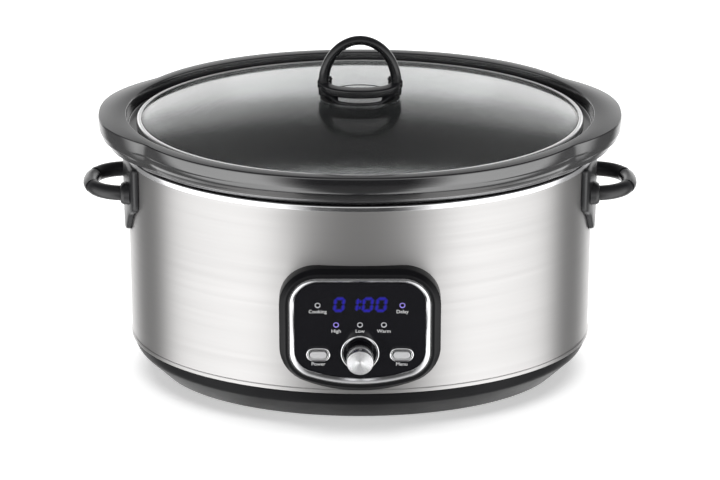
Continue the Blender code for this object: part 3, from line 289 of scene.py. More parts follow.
def finishOf(name):
    if name in madeFinishes:
        return madeFinishes[name]
    plan = finishes[name]
    sockets = {"Metallic": plan.get("metal", 0.0), **plan.get("sockets", {})}
    finish, nodes, links, shader = blankFinish(name, sockets)
    where = nodes.new("ShaderNodeTexCoord")
    turn = nodes.new("ShaderNodeMapping")
    turn.inputs["Scale"].default_value = plan.get("stretch", (1, 1, 1))
    links.new(where.outputs["Object"], turn.inputs["Vector"])
    patch, grain = nodes.new("ShaderNodeTexNoise"), nodes.new("ShaderNodeTexNoise")
    for noise, scale, detail in ((patch, plan["patch"], patchDetail), (grain, plan["grain"], grainDetail)):
        noise.inputs["Scale"].default_value = scale
        noise.inputs["Detail"].default_value = detail
        links.new(turn.outputs[0], noise.inputs["Vector"])
    twoTone(nodes, links, shader, patch.outputs[0], *plan["colours"])
    spread = nodes.new("ShaderNodeMapRange")
    for socket, value in zip(("From Min", "From Max", "To Min", "To Max"), (*roughSpread, *plan["rough"])):
        spread.inputs[socket].default_value = value
    links.new(patch.outputs[0], spread.inputs[0])
    links.new(spread.outputs[0], shader.inputs["Roughness"])
    bumped(nodes, links, shader, grain.outputs[0], plan["depth"], grainStrength)
    madeFinishes[name] = finish
    return finish


glass = {"wave": 9, "depth": 0.00002, "strength": 0.2,
         "sockets": {"Base Color": (0.86, 0.88, 0.88, 1), "Roughness": 0.10, "IOR": 1.56,
                     "Transmission Weight": 1.0}}


def lidGlass():
    finish, nodes, links, shader = blankFinish("lidGlass", glass["sockets"])
    where, wave = nodes.new("ShaderNodeTexCoord"), nodes.new("ShaderNodeTexNoise")
    wave.inputs["Scale"].default_value = glass["wave"]
    links.new(where.outputs["Object"], wave.inputs["Vector"])
    bumped(nodes, links, shader, wave.outputs[0], glass["depth"], glass["strength"])
    return finish


glow = {"rough": 0.3, "patch": 800, "darker": 0.8}


def glowing(name, colour, strength, base):
    sockets = {"Roughness": glow["rough"], "Emission Color": (*colour, 1), "Emission Strength": strength}
    finish, nodes, links, shader = blankFinish(name, sockets)
    where, noise = nodes.new("ShaderNodeTexCoord"), nodes.new("ShaderNodeTexNoise")
    noise.inputs["Scale"].default_value = glow["patch"]
    links.new(where.outputs["Object"], noise.inputs["Vector"])
    twoTone(nodes, links, shader, noise.outputs[0], base, [part * glow["darker"] for part in base])
    return finish


turning = {"groove": 900, "wobble": 0.6, "depth": 0.00004,
           "sockets": {"Base Color": (0.68, 0.68, 0.69, 1), "Metallic": 1.0, "Roughness": 0.24}}


def turnedAluminium(name, centre):
    # Fine rings round the knob's axis.
    finish, nodes, links, shader = blankFinish(name, turning["sockets"])
    where, shift = nodes.new("ShaderNodeTexCoord"), nodes.new("ShaderNodeMapping")
    shift.inputs["Location"].default_value = (-centre.x, 0, -centre.z)
    shift.inputs["Scale"].default_value = (1, 0, 1)
    rings = nodes.new("ShaderNodeTexWave")
    rings.wave_type = "RINGS"
    rings.rings_direction = "SPHERICAL"
    rings.inputs["Scale"].default_value = turning["groove"]
    rings.inputs["Distortion"].default_value = turning["wobble"]
    links.new(where.outputs["Object"], shift.inputs["Vector"])
    links.new(shift.outputs[0], rings.inputs["Vector"])
    bumped(nodes, links, shader, rings.outputs[0], turning["depth"], 1.0)
    return finish


def softened(corners, steps=4, closed=False):
    # Each corner ends in its reach: how far from it the edge starts to curve.
    course = []
    for i, corner in enumerate(corners):
        here, reach = Vector(corner[:-1]), corner[-1]
        if reach == 0 or (not closed and i in (0, len(corners) - 1)):
            course.append(here)
            continue
        ends = []
        for other in (corners[i - 1], corners[(i + 1) % len(corners)]):
            away = Vector(other[:-1]) - here
            ends.append(here + away.normalized() * min(reach, away.length * 0.48))
        for k in range(steps + 1):
            t = k / steps
            course.append(ends[0] * (1 - t) ** 2 + here * (2 * t * (1 - t)) + ends[1] * t * t)
    return course


def skinOver(rings, closed=False, capStart=False, capEnd=False):
    # Draws the first ring, then extrudes it from ring to ring.
    bm = bmesh.new()
    order = bm.verts.layers.int.new("order")
    start = [bm.verts.new(point) for point in rings[0]]
    for i, vert in enumerate(start):
        vert[order] = i
    loop = [bm.edges.new((start[i - 1], start[i])) for i in range(len(start))]
    if capStart:
        bmesh.ops.contextual_create(bm, geom=loop)
    for ring in rings[1:] + ([rings[0]] if closed else []):
        grown = bmesh.ops.extrude_edge_only(bm, edges=loop)["geom"]
        fresh = {item for item in grown if isinstance(item, bmesh.types.BMVert)}
        for vert in fresh:
            vert.co = ring[vert[order]]
        loop = [item for item in grown if isinstance(item, bmesh.types.BMEdge) and set(item.verts) <= fresh]
    if capEnd:
        bmesh.ops.contextual_create(bm, geom=loop)
    return bm


def spun(profile, axis, centre, steps=64, closed=False):
    # Profile points are (radius, distance along the axis from the centre).
    bm = bmesh.new()
    axis = Vector(axis)
    out = Vector((1, 0, 0)) if abs(axis.x) < 0.5 else Vector((0, 1, 0))
    verts = [bm.verts.new(Vector(centre) + out * r + axis * d) for r, d in profile]
    pairs = list(zip(verts, verts[1:])) + ([(verts[-1], verts[0])] if closed else [])
    edges = [bm.edges.new(pair) for pair in pairs]
    bmesh.ops.spin(bm, geom=verts + edges, cent=centre, axis=axis, angle=math.tau, steps=steps,
                   use_merge=True, use_duplicate=False)
    return bm


def joined(*parts):
    # Several closed shapes in one mesh.
    whole = bmesh.new()
    for part in parts:
        bmesh.ops.remove_doubles(part, verts=part.verts, dist=mergeDistance)
        bmesh.ops.recalc_face_normals(part, faces=part.faces)
        mesh = bpy.data.meshes.new("part")
        part.to_mesh(mesh)
        part.free()
        whole.from_mesh(mesh)
        bpy.data.meshes.remove(mesh)
    return whole


def finishPiece(name, bm, finish, body, stands=(), sharp=32, weld=True):
    if weld:
        bmesh.ops.remove_doubles(bm, verts=bm.verts, dist=mergeDistance)
        bmesh.ops.recalc_face_normals(bm, faces=bm.faces)
    mesh = bpy.data.meshes.new(name)
    bm.to_mesh(mesh)
    bm.free()
    mesh.materials.append(finishOf(finish) if isinstance(finish, str) else finish)
    mesh.shade_smooth()
    mesh.set_sharp_from_angle(angle=math.radians(sharp))
    piece = bpy.data.objects.new(name, mesh)
    scene.collection.objects.link(piece)
    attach(piece, body)
    if stands:
        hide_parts(*stands)
    return piece


crock = {"flareX": 0.0035, "flareY": 0.0155, "ear": 0.018, "frontWidth": 0.008, "ledgeDrop": 0.0094,
         "ledgeX": 0.0115, "ledgeY": 0.0085, "body": -0.018, "taper": -0.036, "floor": 0.009}
ear = {"halfWidth": 0.070, "power": 2.7, "fullness": 2.15}


def ovalRing(halfX, halfY, z, pull=0.0, count=200):
    # An oval level; pull draws its two ends outwards into the ears, where the oval is also fuller.
    ring = []
    share = min(1.0, pull / crock["ear"])
    bend = 2 / (2 + (ear["fullness"] - 2) * share)
    for i in range(count):
        turn = math.tau * i / count
        x = halfX * math.copysign(abs(math.cos(turn)) ** bend, math.cos(turn))
        y = halfY * math.copysign(abs(math.sin(turn)) ** bend, math.sin(turn))
        reach = pull * max(0.0, 1 - (abs(y) / ear["halfWidth"]) ** ear["power"]) if pull else 0.0
        ring.append((x + math.copysign(reach, x), cookerY + y, z))
    return ring


def wallRings(levels, count=200):
    # Levels are (growth in x, growth in y, z, pull), measured from the wall's outer face.
    return [ovalRing(wallX + gx, wallY + gy, z, pull, count) for gx, gy, z, pull in levels]


def wallReach(y, grow=0.0):
    return (wallX + grow) * math.sqrt(max(0.0, 1 - (y / (wallY + grow)) ** 2))


base = {"edge": -0.0238, "crease": -0.0038, "creaseZ": 0.0232, "lip": 0.0077, "lipIn": 0.0011, "skin": 0.002,
        "ledgeIn": 0.017, "ledgeOut": 0.0075, "ledgeTop": 0.0048, "ledgeLow": 0.0023}


def baseSkirt():
    edge, crease, skin = base["edge"], base["crease"], base["skin"]
    low, top = skirtLow.z, skirtHigh.z - base["lip"]
    lip, inside = -base["lipIn"], -base["lipIn"] - skin
    ledgeTop, ledgeLow = low + base["ledgeTop"], low + base["ledgeLow"]
    ledgeIn, ledgeOut = edge - base["ledgeIn"], edge - base["ledgeOut"]
    levels = [
        (edge, edge + 0.002, low, 0, 0.0012),
        (crease, crease + 0.0028, base["creaseZ"], 0, 0.0035),
        (0, 0, top, 0, 0.0009),
        (lip, lip, top, 0, 0),
        (lip, lip, top + base["lip"], 0, 0),
        (inside, inside, top + base["lip"], 0, 0),
        (inside, inside, top - skin, 0, 0.001),
        (crease - 0.0035, crease - 0.0035, base["creaseZ"] + 0.0008, 0, 0.002),
        (edge + 0.0013, edge + 0.0013, ledgeTop, 0, 0),
        (ledgeIn, ledgeIn, ledgeTop, 0, 0.0004),
        (ledgeIn, ledgeIn, ledgeLow, 0, 0.0004),
        (ledgeOut, ledgeOut, ledgeLow, 0, 0),
        (ledgeOut, ledgeOut, low, 0, 0.0008),
    ]
    bm = skinOver(wallRings(softened(levels, 5, True)), closed=True)
    finishPiece("baseSkirt", bm, "basePlastic", "housing", ["base_skirt"])


pad = {"stem": 0.003, "stemTop": 0.0055, "padTop": 0.0017, "dish": 0.0004}


def rubberFeet():
    stem, stemTop, padTop, dish = pad["stem"], pad["stemTop"], pad["padTop"], pad["dish"]
    for i in range(1, 5):
        low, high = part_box(f"foot_{i}")
        middle = (low + high) / 2
        radius = (high.x - low.x) / 2
        profile = softened([(0, stemTop, 0), (stem, stemTop, 0.0004), (stem, padTop, 0),
                            (radius, padTop, 0.0003), (radius, 0, 0.0005), (radius * 0.55, 0, 0.0003),
                            (radius * 0.45, dish, 0.0003), (0, dish, 0)])
        bm = spun(profile, (0, 0, 1), (middle.x, middle.y, 0), 40)
        finishPiece(f"rubberFoot{i}", bm, "footRubber", "housing", [f"foot_{i}"])


baseSkirt()
rubberFeet()
print("base done")


shell = {"skin": 0.0008, "hem": 0.0028, "hemStep": 0.0006, "rows": 20,
         "windowHalf": 0.040, "windowLow": 0.055, "windowHigh": 0.125}


def steelWall():
    low, top, skin = wallLow.z, wallHigh.z, shell["skin"]
    hemTop = low + shell["hem"]
    above, rise = hemTop + shell["hemStep"], (top - hemTop) / shell["rows"]
    outside = [(0, 0, above + rise * k, 0, 0) for k in range(shell["rows"])]
    levels = [(-skin, -skin, low, 0, 0), (hemProud, hemProud, low, 0, 0.0003)]
    levels += [(hemProud, hemProud, hemTop, 0, 0.0003)] + outside
    levels += [(0, 0, top, 0, 0), (-skin, -skin, top, 0, 0)]
    levels += [(-skin, -skin, z, 0, 0) for _, _, z, _, _ in reversed(outside)]
    bm = skinOver(wallRings(softened(levels, 3, True)), closed=True)
    bmesh.ops.remove_doubles(bm, verts=bm.verts, dist=mergeDistance)
    gone = []  # the window behind the control panel
    for face in bm.faces:
        middle = face.calc_center_median()
        inWindow = abs(middle.x) < shell["windowHalf"] and shell["windowLow"] < middle.z < shell["windowHigh"]
        if inWindow and middle.y < cookerY:
            gone.append(face)
    bmesh.ops.delete(bm, geom=gone, context="FACES")
    bmesh.ops.bridge_loops(bm, edges=[edge for edge in bm.edges if edge.is_boundary])
    finishPiece("steelWall", bm, "brushedSteel", "housing", ["housing_wall"])


pot = {"outer": -0.013, "inner": -0.014, "skin": 0.001, "corner": 0.020, "bead": 0.0013, "beadDrop": 0.003}


def innerPot():
    # The bright bead is the pot's own flange, rolled over the wall's top edge.
    under, lip, bead = wallHigh.z + gap, wallHigh.z + gap - pot["beadDrop"], pot["bead"]
    top, bottom = linerHigh.z, linerLow.z
    outer, inner, corner = pot["outer"], pot["inner"], pot["corner"]
    floor = bottom + pot["skin"]
    levels = [
        (outer - 2 * corner, outer - 2 * corner, bottom, 0, 0),
        (outer, outer, bottom, 0, corner),
        (outer, outer, under, 0, 0.0012),
        (gap, gap, under, 0, 0),
        (gap, gap, lip, 0, 0.0003),
        (bead, bead, lip, 0, 0.0004),
        (bead, bead, top, 0, 0.0012),
        (inner + 0.001, inner + 0.001, top, 0, 0.0006),
        (inner, inner, top - 0.002, 0, 0.001),
        (inner, inner, floor, 0, corner),
        (inner - 2 * corner, inner - 2 * corner, floor, 0, 0),
    ]
    bm = skinOver(wallRings(softened(levels, 8)), capStart=True, capEnd=True)
    finishPiece("innerPot", bm, "potMetal", "housing", ["inner_liner"])


bush = {"bore": 0.0036, "neck": 0.005, "depth": 0.006}


def cordBush():
    low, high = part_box("cord_bush")
    centre = ((low.x + high.x) / 2, cookerY + wallY, (low.z + high.z) / 2)
    out = high.y - centre[1]
    radius = (high.x - low.x) / 2
    bore, neck, depth = bush["bore"], bush["neck"], bush["depth"]
    profile = softened([(bore, out, 0.0004), (radius, out, 0.0008), (radius, gap, 0), (neck, gap, 0),
                        (neck, -depth, 0.0003), (bore, -depth, 0.0003)], 4, True)
    bm = spun(profile, (0, 1, 0), centre, 48, closed=True)
    finishPiece("cordBush", bm, "basePlastic", "housing", ["cord_bush"])


steelWall()
innerPot()
cordBush()
print("housing done")


def crockPot():
    seat, top, low = linerHigh.z + gap, crockHigh.z, crockLow.z
    rim, depth = top - seat, seat - low
    body, taper, floor = crock["body"], crock["taper"], low + crock["floor"]
    flareX, flareY, pull = crock["flareX"], crock["flareY"], crock["ear"]
    inY, ledge = flareY - crock["frontWidth"], top - crock["ledgeDrop"]
    levels = [
        (taper - 0.024, taper - 0.024, low, 0, 0),
        (taper, taper, low, 0, 0.016),
        (body, body, low + depth * 0.75, 0, 0.02),
        (body, body, seat, 0, 0.001),
        (-0.0015, -0.0015, seat, 0, 0.0006),
        (0, 0.0005, seat + 0.0018, 0.0002, 0.0008),
        (flareX * 0.16, flareY * 0.16, seat + rim * 0.12, pull * 0.30, 0.002),
        (flareX * 0.50, flareY * 0.50, seat + rim * 0.30, pull * 0.72, 0.003),
        (flareX * 0.88, flareY * 0.88, seat + rim * 0.55, pull * 0.93, 0.003),
        (flareX, flareY, seat + rim * 0.76, pull, 0.003),
        (flareX, flareY, top, pull, 0.0016),
        (0, inY, top, 0, 0.0014),
        (-0.0015, inY - 0.0015, ledge, 0, 0.0012),
        (-crock["ledgeX"], inY - crock["ledgeY"], ledge, 0, 0.002),
        (body - 0.007, body - 0.004, seat, 0, 0.006),
        (body - 0.012, body - 0.011, low + depth * 0.5, 0, 0.02),
        (taper - 0.007, taper - 0.007, floor, 0, 0.018),
        (taper - 0.030, taper - 0.030, floor, 0, 0),
    ]
    bm = skinOver(wallRings(softened(levels, 6)), capStart=True, capEnd=True)
    finishPiece("crockPot", bm, "blackGlaze", "crock", ["crock"], 40)


crockPot()
print("crock done")


lid = {"skin": 0.0034, "brim": 0.0042, "dome": 0.0155, "bulge": 0.9, "rows": 22,
       "rimWidth": 0.0035, "rimSkin": 0.0007, "edgeGap": 0.001}
lidX = lidHigh.x
lidY = (lidHigh.y - lidLow.y) / 2


def lidRings(levels, count=200):
    return [ovalRing(lidX + grow, lidY + grow, z, 0.0, count) for grow, z in levels]


def lidPane():
    skin, brim = lid["skin"], lid["brim"]
    low = glassLow.z
    edge = -lid["edgeGap"]
    upper = []
    for k in range(lid["rows"]):
        share = math.cos(math.pi / 2 * k / lid["rows"])
        rise = lid["dome"] * (1 - share**2) ** lid["bulge"]
        upper.append((share, low + skin + rise))
    brimX, brimY = lidX - brim, lidY - brim
    dome = [ovalRing(brimX * share, brimY * share, z) for share, z in upper]
    under = [[(x, y, z - skin) for x, y, z in ring] for ring in dome]
    rim = softened([(edge - 0.004, low, 0), (edge, low, 0.0006), (edge, low + skin, 0.0006),
                    (edge - 0.004, low + skin, 0)])
    bm = skinOver(under[::-1] + lidRings(rim) + dome, capStart=True, capEnd=True)
    finishPiece("lidPane", bm, lidGlass(), "lid", ["lid_glass"], 60)


def lidBand():
    low, high = lidLow.z, lidHigh.z
    lip, wall, skin = -lid["rimWidth"], -lid["rimSkin"], lid["rimSkin"]
    profile = softened([(lip, low, 0.0002), (0, low, 0.0009), (0, high, 0.0022), (lip, high - 0.0002, 0.0005),
                        (lip, high - skin, 0.0001), (wall, high - skin, 0.0004), (wall, low + skin, 0.0004),
                        (lip, low + skin, 0.0001)], 6, True)
    finishPiece("lidBand", skinOver(lidRings(profile), closed=True), "brightSteel", "lid",
                ["lid_rim"], 50)


lidPane()
lidBand()
print("lid done")


# The lid's handle, its foot on the glass and its gasket.
grip = {"halfWidth": 0.028, "height": 0.035, "radius": 0.0036, "swell": 1.18, "spring": 0.0107,
        "barFront": 0.0185, "barBack": 0.009, "barLow": 0.0042, "barHigh": 0.0108, "bossReach": 0.033,
        "footX": 0.0275, "footY": 0.0228, "footIn": 0.0024, "footHeight": 0.0021, "flare": 0.0022,
        "bossRadius": 0.0034, "nubX": 0.0232, "nubY": 0.0046, "nubRise": 0.0018, "gasketWidth": 0.0045,
        "yokeFrom": -38, "yokeSweep": 256, "yokeHalf": 0.0034, "yokeLift": 0.0022, "archSteps": 48}


def tubeAlong(route, radii, squash=1.0, sides=20):
    # A round bar along route; its section stands square to the route's direction.
    rings = []
    for i, (point, radius) in enumerate(zip(route, radii)):
        before, after = route[max(i - 1, 0)], route[min(i + 1, len(route) - 1)]
        ahead = (Vector(after) - Vector(before)).normalized()
        side = ahead.cross(Vector((0, 1, 0)) if abs(ahead.y) < 0.9 else Vector((0, 0, 1))).normalized()
        up = side.cross(ahead).normalized()
        ring = []
        for k in range(sides):
            turn = math.tau * k / sides
            across, rise = math.cos(turn) * radius, math.sin(turn) * radius * squash
            ring.append(Vector(point) + side * across + up * rise)
        rings.append(ring)
    return skinOver(rings, capStart=True, capEnd=True)


def gripArch(foot):
    across, spring = grip["halfWidth"], foot + grip["spring"]
    turns = [math.pi * i / grip["archSteps"] for i in range(grip["archSteps"] + 1)]
    route = [(across, cookerY, foot + 0.0015)]
    route += [(across * math.cos(t), cookerY, spring + grip["height"] * math.sin(t)) for t in turns]
    route += [(-across, cookerY, foot + 0.0015)]
    swell = grip["swell"]
    radii = [swell] + [swell - (swell - 1) * math.sin(t) for t in turns] + [swell]
    return tubeAlong(route, [grip["radius"] * r for r in radii])


def gripYoke(foot):
    # Bowed plate that runs round the front, from one leg to the other, with its ends turned back.
    rings = []
    steps, thin = 60, grip["yokeHalf"]
    for i in range(steps + 1):
        turn = math.radians(grip["yokeFrom"] + grip["yokeSweep"] * i / steps)
        front = max(0.0, math.sin(turn))
        reach = (grip["barFront"] + grip["barBack"]) / 2
        half = thin + ((grip["barFront"] - grip["barBack"]) / 2 - thin) * front
        centre = Vector((grip["halfWidth"] * math.cos(turn), -reach * math.sin(turn)))
        out = Vector((reach * math.cos(turn), -grip["halfWidth"] * math.sin(turn))).normalized()
        end = min(1.0, i / 4, (steps - i) / 4)
        half *= math.sqrt(max(0.05, 1 - (1 - end) ** 2))
        lift = grip["yokeLift"] * (1 - front) ** 2
        low, high = foot + grip["barLow"] + lift, foot + grip["barHigh"] + lift
        section = softened([(-half, low, 0.0016), (half, low, 0.0016), (half, high, 0.0016),
                            (-half, high, 0.0012)], 5, True)
        rings.append([(centre.x + out.x * s, cookerY + centre.y + out.y * s, z) for s, z in section])
    return skinOver(rings, capStart=True, capEnd=True)


def gripFoot(foot):
    # Oval ring on the glass: low across the front, rising at the sides to meet the yoke.
    rings = []
    steps = 72
    for i in range(steps):
        turn = math.tau * i / steps
        side = min(1.0, max(0.0, (abs(math.cos(turn)) - 0.62) / 0.22))
        side = side * side * (3 - 2 * side)
        behind = min(1.0, max(0.0, (math.sin(turn) - 0.1) / 0.3))
        side *= 1 - behind
        width = (grip["footIn"] + 0.0045 * side) * (1 - behind) + 0.0008 * behind
        high = foot + grip["footHeight"] + (grip["barLow"] + 0.001 - grip["footHeight"]) * side
        high -= (grip["footHeight"] - 0.0006) * behind
        out = grip["flare"] * side
        section = softened([(0, foot, 0.0004), (out, high, 0.0008), (-width, high, 0.0006),
                            (-width, foot, 0)], 3, True)
        rings.append([((grip["footX"] + s) * math.cos(turn), cookerY + (grip["footY"] + s) * math.sin(turn),
                       z) for s, z in section])
    return skinOver(rings, closed=True)


def lidGrip():
    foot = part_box("lid_handle")[0].z
    spring = foot + grip["spring"]
    parts = [gripArch(foot), gripYoke(foot), gripFoot(foot)]
    reach, root, radius = grip["bossReach"], grip["halfWidth"] - 0.003, grip["bossRadius"]
    boss = softened([(0, reach, 0), (radius, reach, 0.0014), (radius + 0.0004, root, 0), (0, root, 0)])
    nub = softened([(0, 0.0016, 0), (0.0017, 0.0016, 0.0009), (0.0019, -0.004, 0), (0, -0.004, 0)])
    for side in (1, -1):
        parts.append(spun(boss, (side, 0, 0), (0, cookerY, spring - 0.0006), 28))
        spot = (side * grip["nubX"], cookerY + grip["nubY"], spring + grip["nubRise"])
        parts.append(spun(nub, (-side * 0.8, 0, 0.6), spot, 20))
    finishPiece("lidGrip", joined(*parts), "lidHandlePlastic", "lid",
                ["lid_handle"], 40, False)


def gripGasket():
    low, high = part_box("lid_handle_gasket")
    halfX, halfY, inner = high.x, (high.y - low.y) / 2, -grip["gasketWidth"]
    profile = softened([(0, low.z, 0.0002), (0, high.z, 0.0004), (inner, high.z, 0.0002), (inner, low.z, 0)],
                       3, True)
    rings = [ovalRing(halfX + grow, halfY + grow, z, 0, 96) for grow, z in profile]
    finishPiece("gripGasket", skinOver(rings, closed=True), "footRubber", "lid",
                ["lid_handle_gasket"])


lidGrip()
gripGasket()
print("lid handle done")


# The side handles: "wing" and "tongue" shape the plate, the rest shapes the loop.
carry = {"radius": 0.006, "squash": 0.92, "power": 2.3, "armY": 0.025, "drop": 0.0284,
         "skin": 0.0038, "wingHalf": 0.041, "topDrop": 0.003, "height": 0.060, "wing": 0.030,
         "tongueTop": 0.031, "tongueLow": 0.020}
sideZ = wallHigh.z - carry["drop"]


def shieldOutline(inset):
    # The plate's shape, as distances along the wall and height above the arms.
    top = carry["drop"] - carry["topDrop"] - inset
    low = carry["drop"] - carry["topDrop"] - carry["height"] + inset
    wing = top + inset - carry["wing"] + inset * 0.4
    half = [(0, top, 0), (carry["wingHalf"] - inset, top, 0.003),
            (carry["wingHalf"] - inset, wing - 0.004, 0.007),
            (carry["tongueTop"] - inset, wing - 0.011, 0.004),
            (carry["tongueLow"] - inset, low + 0.001, 0.005), (0, low, 0)]
    right = softened(half, 6)
    return right + [Vector((-p.x, p.y)) for p in reversed(right[1:-1])]


def sideHandle(side, tag):
    skin = carry["skin"]
    rings = []
    for inset, grow in ((0, gap), (0, skin - 0.0012), (0.0004, skin - 0.0005), (0.0012, skin)):
        outline = shieldOutline(inset)
        rings.append([(side * wallReach(p.x, grow), cookerY + p.x, sideZ + p.y) for p in outline])
    face = shieldOutline(0.0012)
    for share in (0.85, 0.65, 0.45, 0.25, 0.08):
        rings.append([(side * wallReach(p.x * share, skin), cookerY + p.x * share, sideZ + p.y * share)
                      for p in face])
    plate = skinOver(rings, capStart=True, capEnd=True)
    armY, radius = carry["armY"], carry["radius"]
    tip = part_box(f"side_handle_{tag}")[1 if side > 0 else 0].x * side - radius
    start = wallReach(armY) + 0.002
    root = start - 0.003
    route = [(root, armY)]
    steps, bend = 40, 2 / carry["power"]
    for i in range(steps + 1):
        turn = math.pi * i / steps
        out = math.sin(turn) ** bend
        across = math.copysign(abs(math.cos(turn)) ** bend, math.cos(turn))
        route.append((start + (tip - start) * out, armY * across))
    route.append((root, -armY))
    route = [(side * x, cookerY + y, sideZ) for x, y in route]
    loop = tubeAlong(route, [radius] * len(route), carry["squash"])
    parts = [plate, loop]
    # A raised collar stands on the plate round each arm.
    collar = softened([(0, 0.0045, 0), (radius * 1.25, 0.0045, 0.002), (radius * 1.5, 0.0022, 0.0012),
                       (radius * 1.62, -0.003, 0), (0, -0.003, 0)])
    for y in (-armY, armY):
        parts.append(spun(collar, (side, 0, 0), (side * wallReach(y, skin), cookerY + y, sideZ), 36))
    finishPiece(f"sideHandle{tag.capitalize()}", joined(*parts), "handlePlastic", "housing",
                [f"side_handle_{tag}"], 40, False)


for side, tag in ((1, "right"), (-1, "left")):
    sideHandle(side, tag)
print("side handles done")


# The control panel. Its outline is flat on top and bowed below.
panel = {"corner": 0.030, "bow": 0.110, "slope": 0.004, "sink": 0.002, "land": 0.009,
         "trimCorner": 0.022, "trimBow": 0.121, "trimWidth": 0.0044}
bezelLow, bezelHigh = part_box("panel_bezel")
trimLow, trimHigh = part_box("panel_trim")
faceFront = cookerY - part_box("panel_face")[0].y
bezelFront = cookerY - bezelLow.y
faceBack = faceFront - panel["sink"]
lightNames = ("cooking", "delay", "high", "low", "warm")
buttonNames = ("power", "menu")


def bowedOutline(halfWidth, top, low, corner, bow, inset=0.0, steps=14):
    # Flat top, straight sides and a bowed lower edge; inset draws every side in.
    halfWidth, top, low = halfWidth - inset, top - inset, low + inset
    corner, bow = corner - inset, bow - inset
    side = halfWidth - corner
    reach = math.sqrt((bow - corner) ** 2 - side**2)
    turn = math.atan2(reach, side)
    lowCentre = low + bow - reach
    right = [(side + corner * math.sin(a), top - corner + corner * math.cos(a))
             for a in [math.pi / 2 * i / steps for i in range(steps + 1)]]
    right += [(side + corner * math.cos(a), lowCentre - corner * math.sin(a))
              for a in [turn * i / steps for i in range(steps + 1)]]
    sweep = math.pi / 2 - turn
    right += [(bow * math.sin(a), low + bow - bow * math.cos(a))
              for a in [sweep * (1 - i / 6) for i in range(1, 6)]]
    right = [(0, top)] + right + [(0, low)]
    return right + [(-x, z) for x, z in reversed(right[1:-1])]


def bezelLoop(inset, forward):
    outline = bowedOutline(bezelHigh.x, bezelHigh.z, bezelLow.z, panel["corner"], panel["bow"], inset)
    return [(x, cookerY - forward, z) for x, z in outline]


def trimLoop(inset, forward):
    outline = bowedOutline(trimHigh.x, trimHigh.z, trimLow.z, panel["trimCorner"], panel["trimBow"], inset)
    return [(x, cookerY - forward, z) for x, z in outline]


def againstWall(loop, sink):
    # The loop's points set back into the wall, which curves away behind the panel.
    return [(x, cookerY - wallY * math.sqrt(1 - (x / wallX) ** 2) + sink, z) for x, _, z in loop]


def blended(first, second, share):
    return [tuple(a + (b - a) * share for a, b in zip(p, q)) for p, q in zip(first, second)]


def panelBezel():
    slope, front = panel["slope"], bezelFront
    inner, crest = trimLoop(-gap, front), trimLoop(-0.0026, front)
    shoulder = bezelLoop(0.0012, front - slope + 0.0012)
    rings = [againstWall(bezelLoop(0, front - slope), panel["sink"]), bezelLoop(0, front - slope - 0.0008)]
    rings += [bezelLoop(0.0003, front - slope + 0.0004), shoulder]
    rings += [blended(shoulder, trimLoop(-0.0032, front - 0.0004), share) for share in (0.25, 0.5, 0.75, 1.0)]
    rings += [crest, blended(crest, inner, 0.8), trimLoop(-gap, front - 0.0003), trimLoop(-gap, faceBack)]
    land = trimLoop(panel["land"], faceBack - gap)
    rings += [land, againstWall(land, panel["sink"])]
    bm = skinOver(rings, closed=True)
    finishPiece("panelBezel", bm, "bezelPlastic", "housing", ["panel_bezel"], 50)


def panelTrim():
    front, width = bezelFront, panel["trimWidth"]
    rings = [trimLoop(0, faceBack), trimLoop(0, front - 0.0002), trimLoop(0.0002, front + 0.0002),
             trimLoop(0.0007, front + 0.0003)]
    for share in (0.15, 0.4, 0.65, 0.9):
        slant = (front + 0.0002) * (1 - share) + (faceFront + 0.0007) * share
        crown = 0.0003 * math.sin(math.pi * share)
        rings.append(trimLoop(0.0009 + (width - 0.0016) * share, slant + crown))
    rings += [trimLoop(width - 0.0003, faceFront + 0.0004), trimLoop(width, faceFront),
              trimLoop(width, faceBack)]
    finishPiece("panelTrim", skinOver(rings, closed=True), "satinChrome", "housing",
                ["panel_trim"], 40)


def stadiumLoop(halfLength, halfHeight, centre, forward, steps=14):
    reach = halfLength - halfHeight
    turns = [math.pi * i / steps for i in range(steps + 1)]
    right = [(reach + halfHeight * math.sin(a), halfHeight * math.cos(a)) for a in turns]
    loop = right + [(-x, -z) for x, z in right]
    return [(centre[0] + x, cookerY - forward, centre[1] + z) for x, z in loop]


def middleOf(node):
    low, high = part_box(node)
    return (low + high) / 2


def panelFace():
    # The glossy front plate keeps the frame's own cuts for the knob, lights and buttons.
    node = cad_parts["panel_face"]
    node.data.materials.clear()
    node.data.materials.append(finishOf("faceGloss"))


knob = {"bore": 0.0034, "boreDepth": 0.004, "ringOuter": 0.0146, "ringInner": 0.0126, "ringProud": 0.0014,
        "skirtFront": 0.0082, "skirtBack": 0.0094}


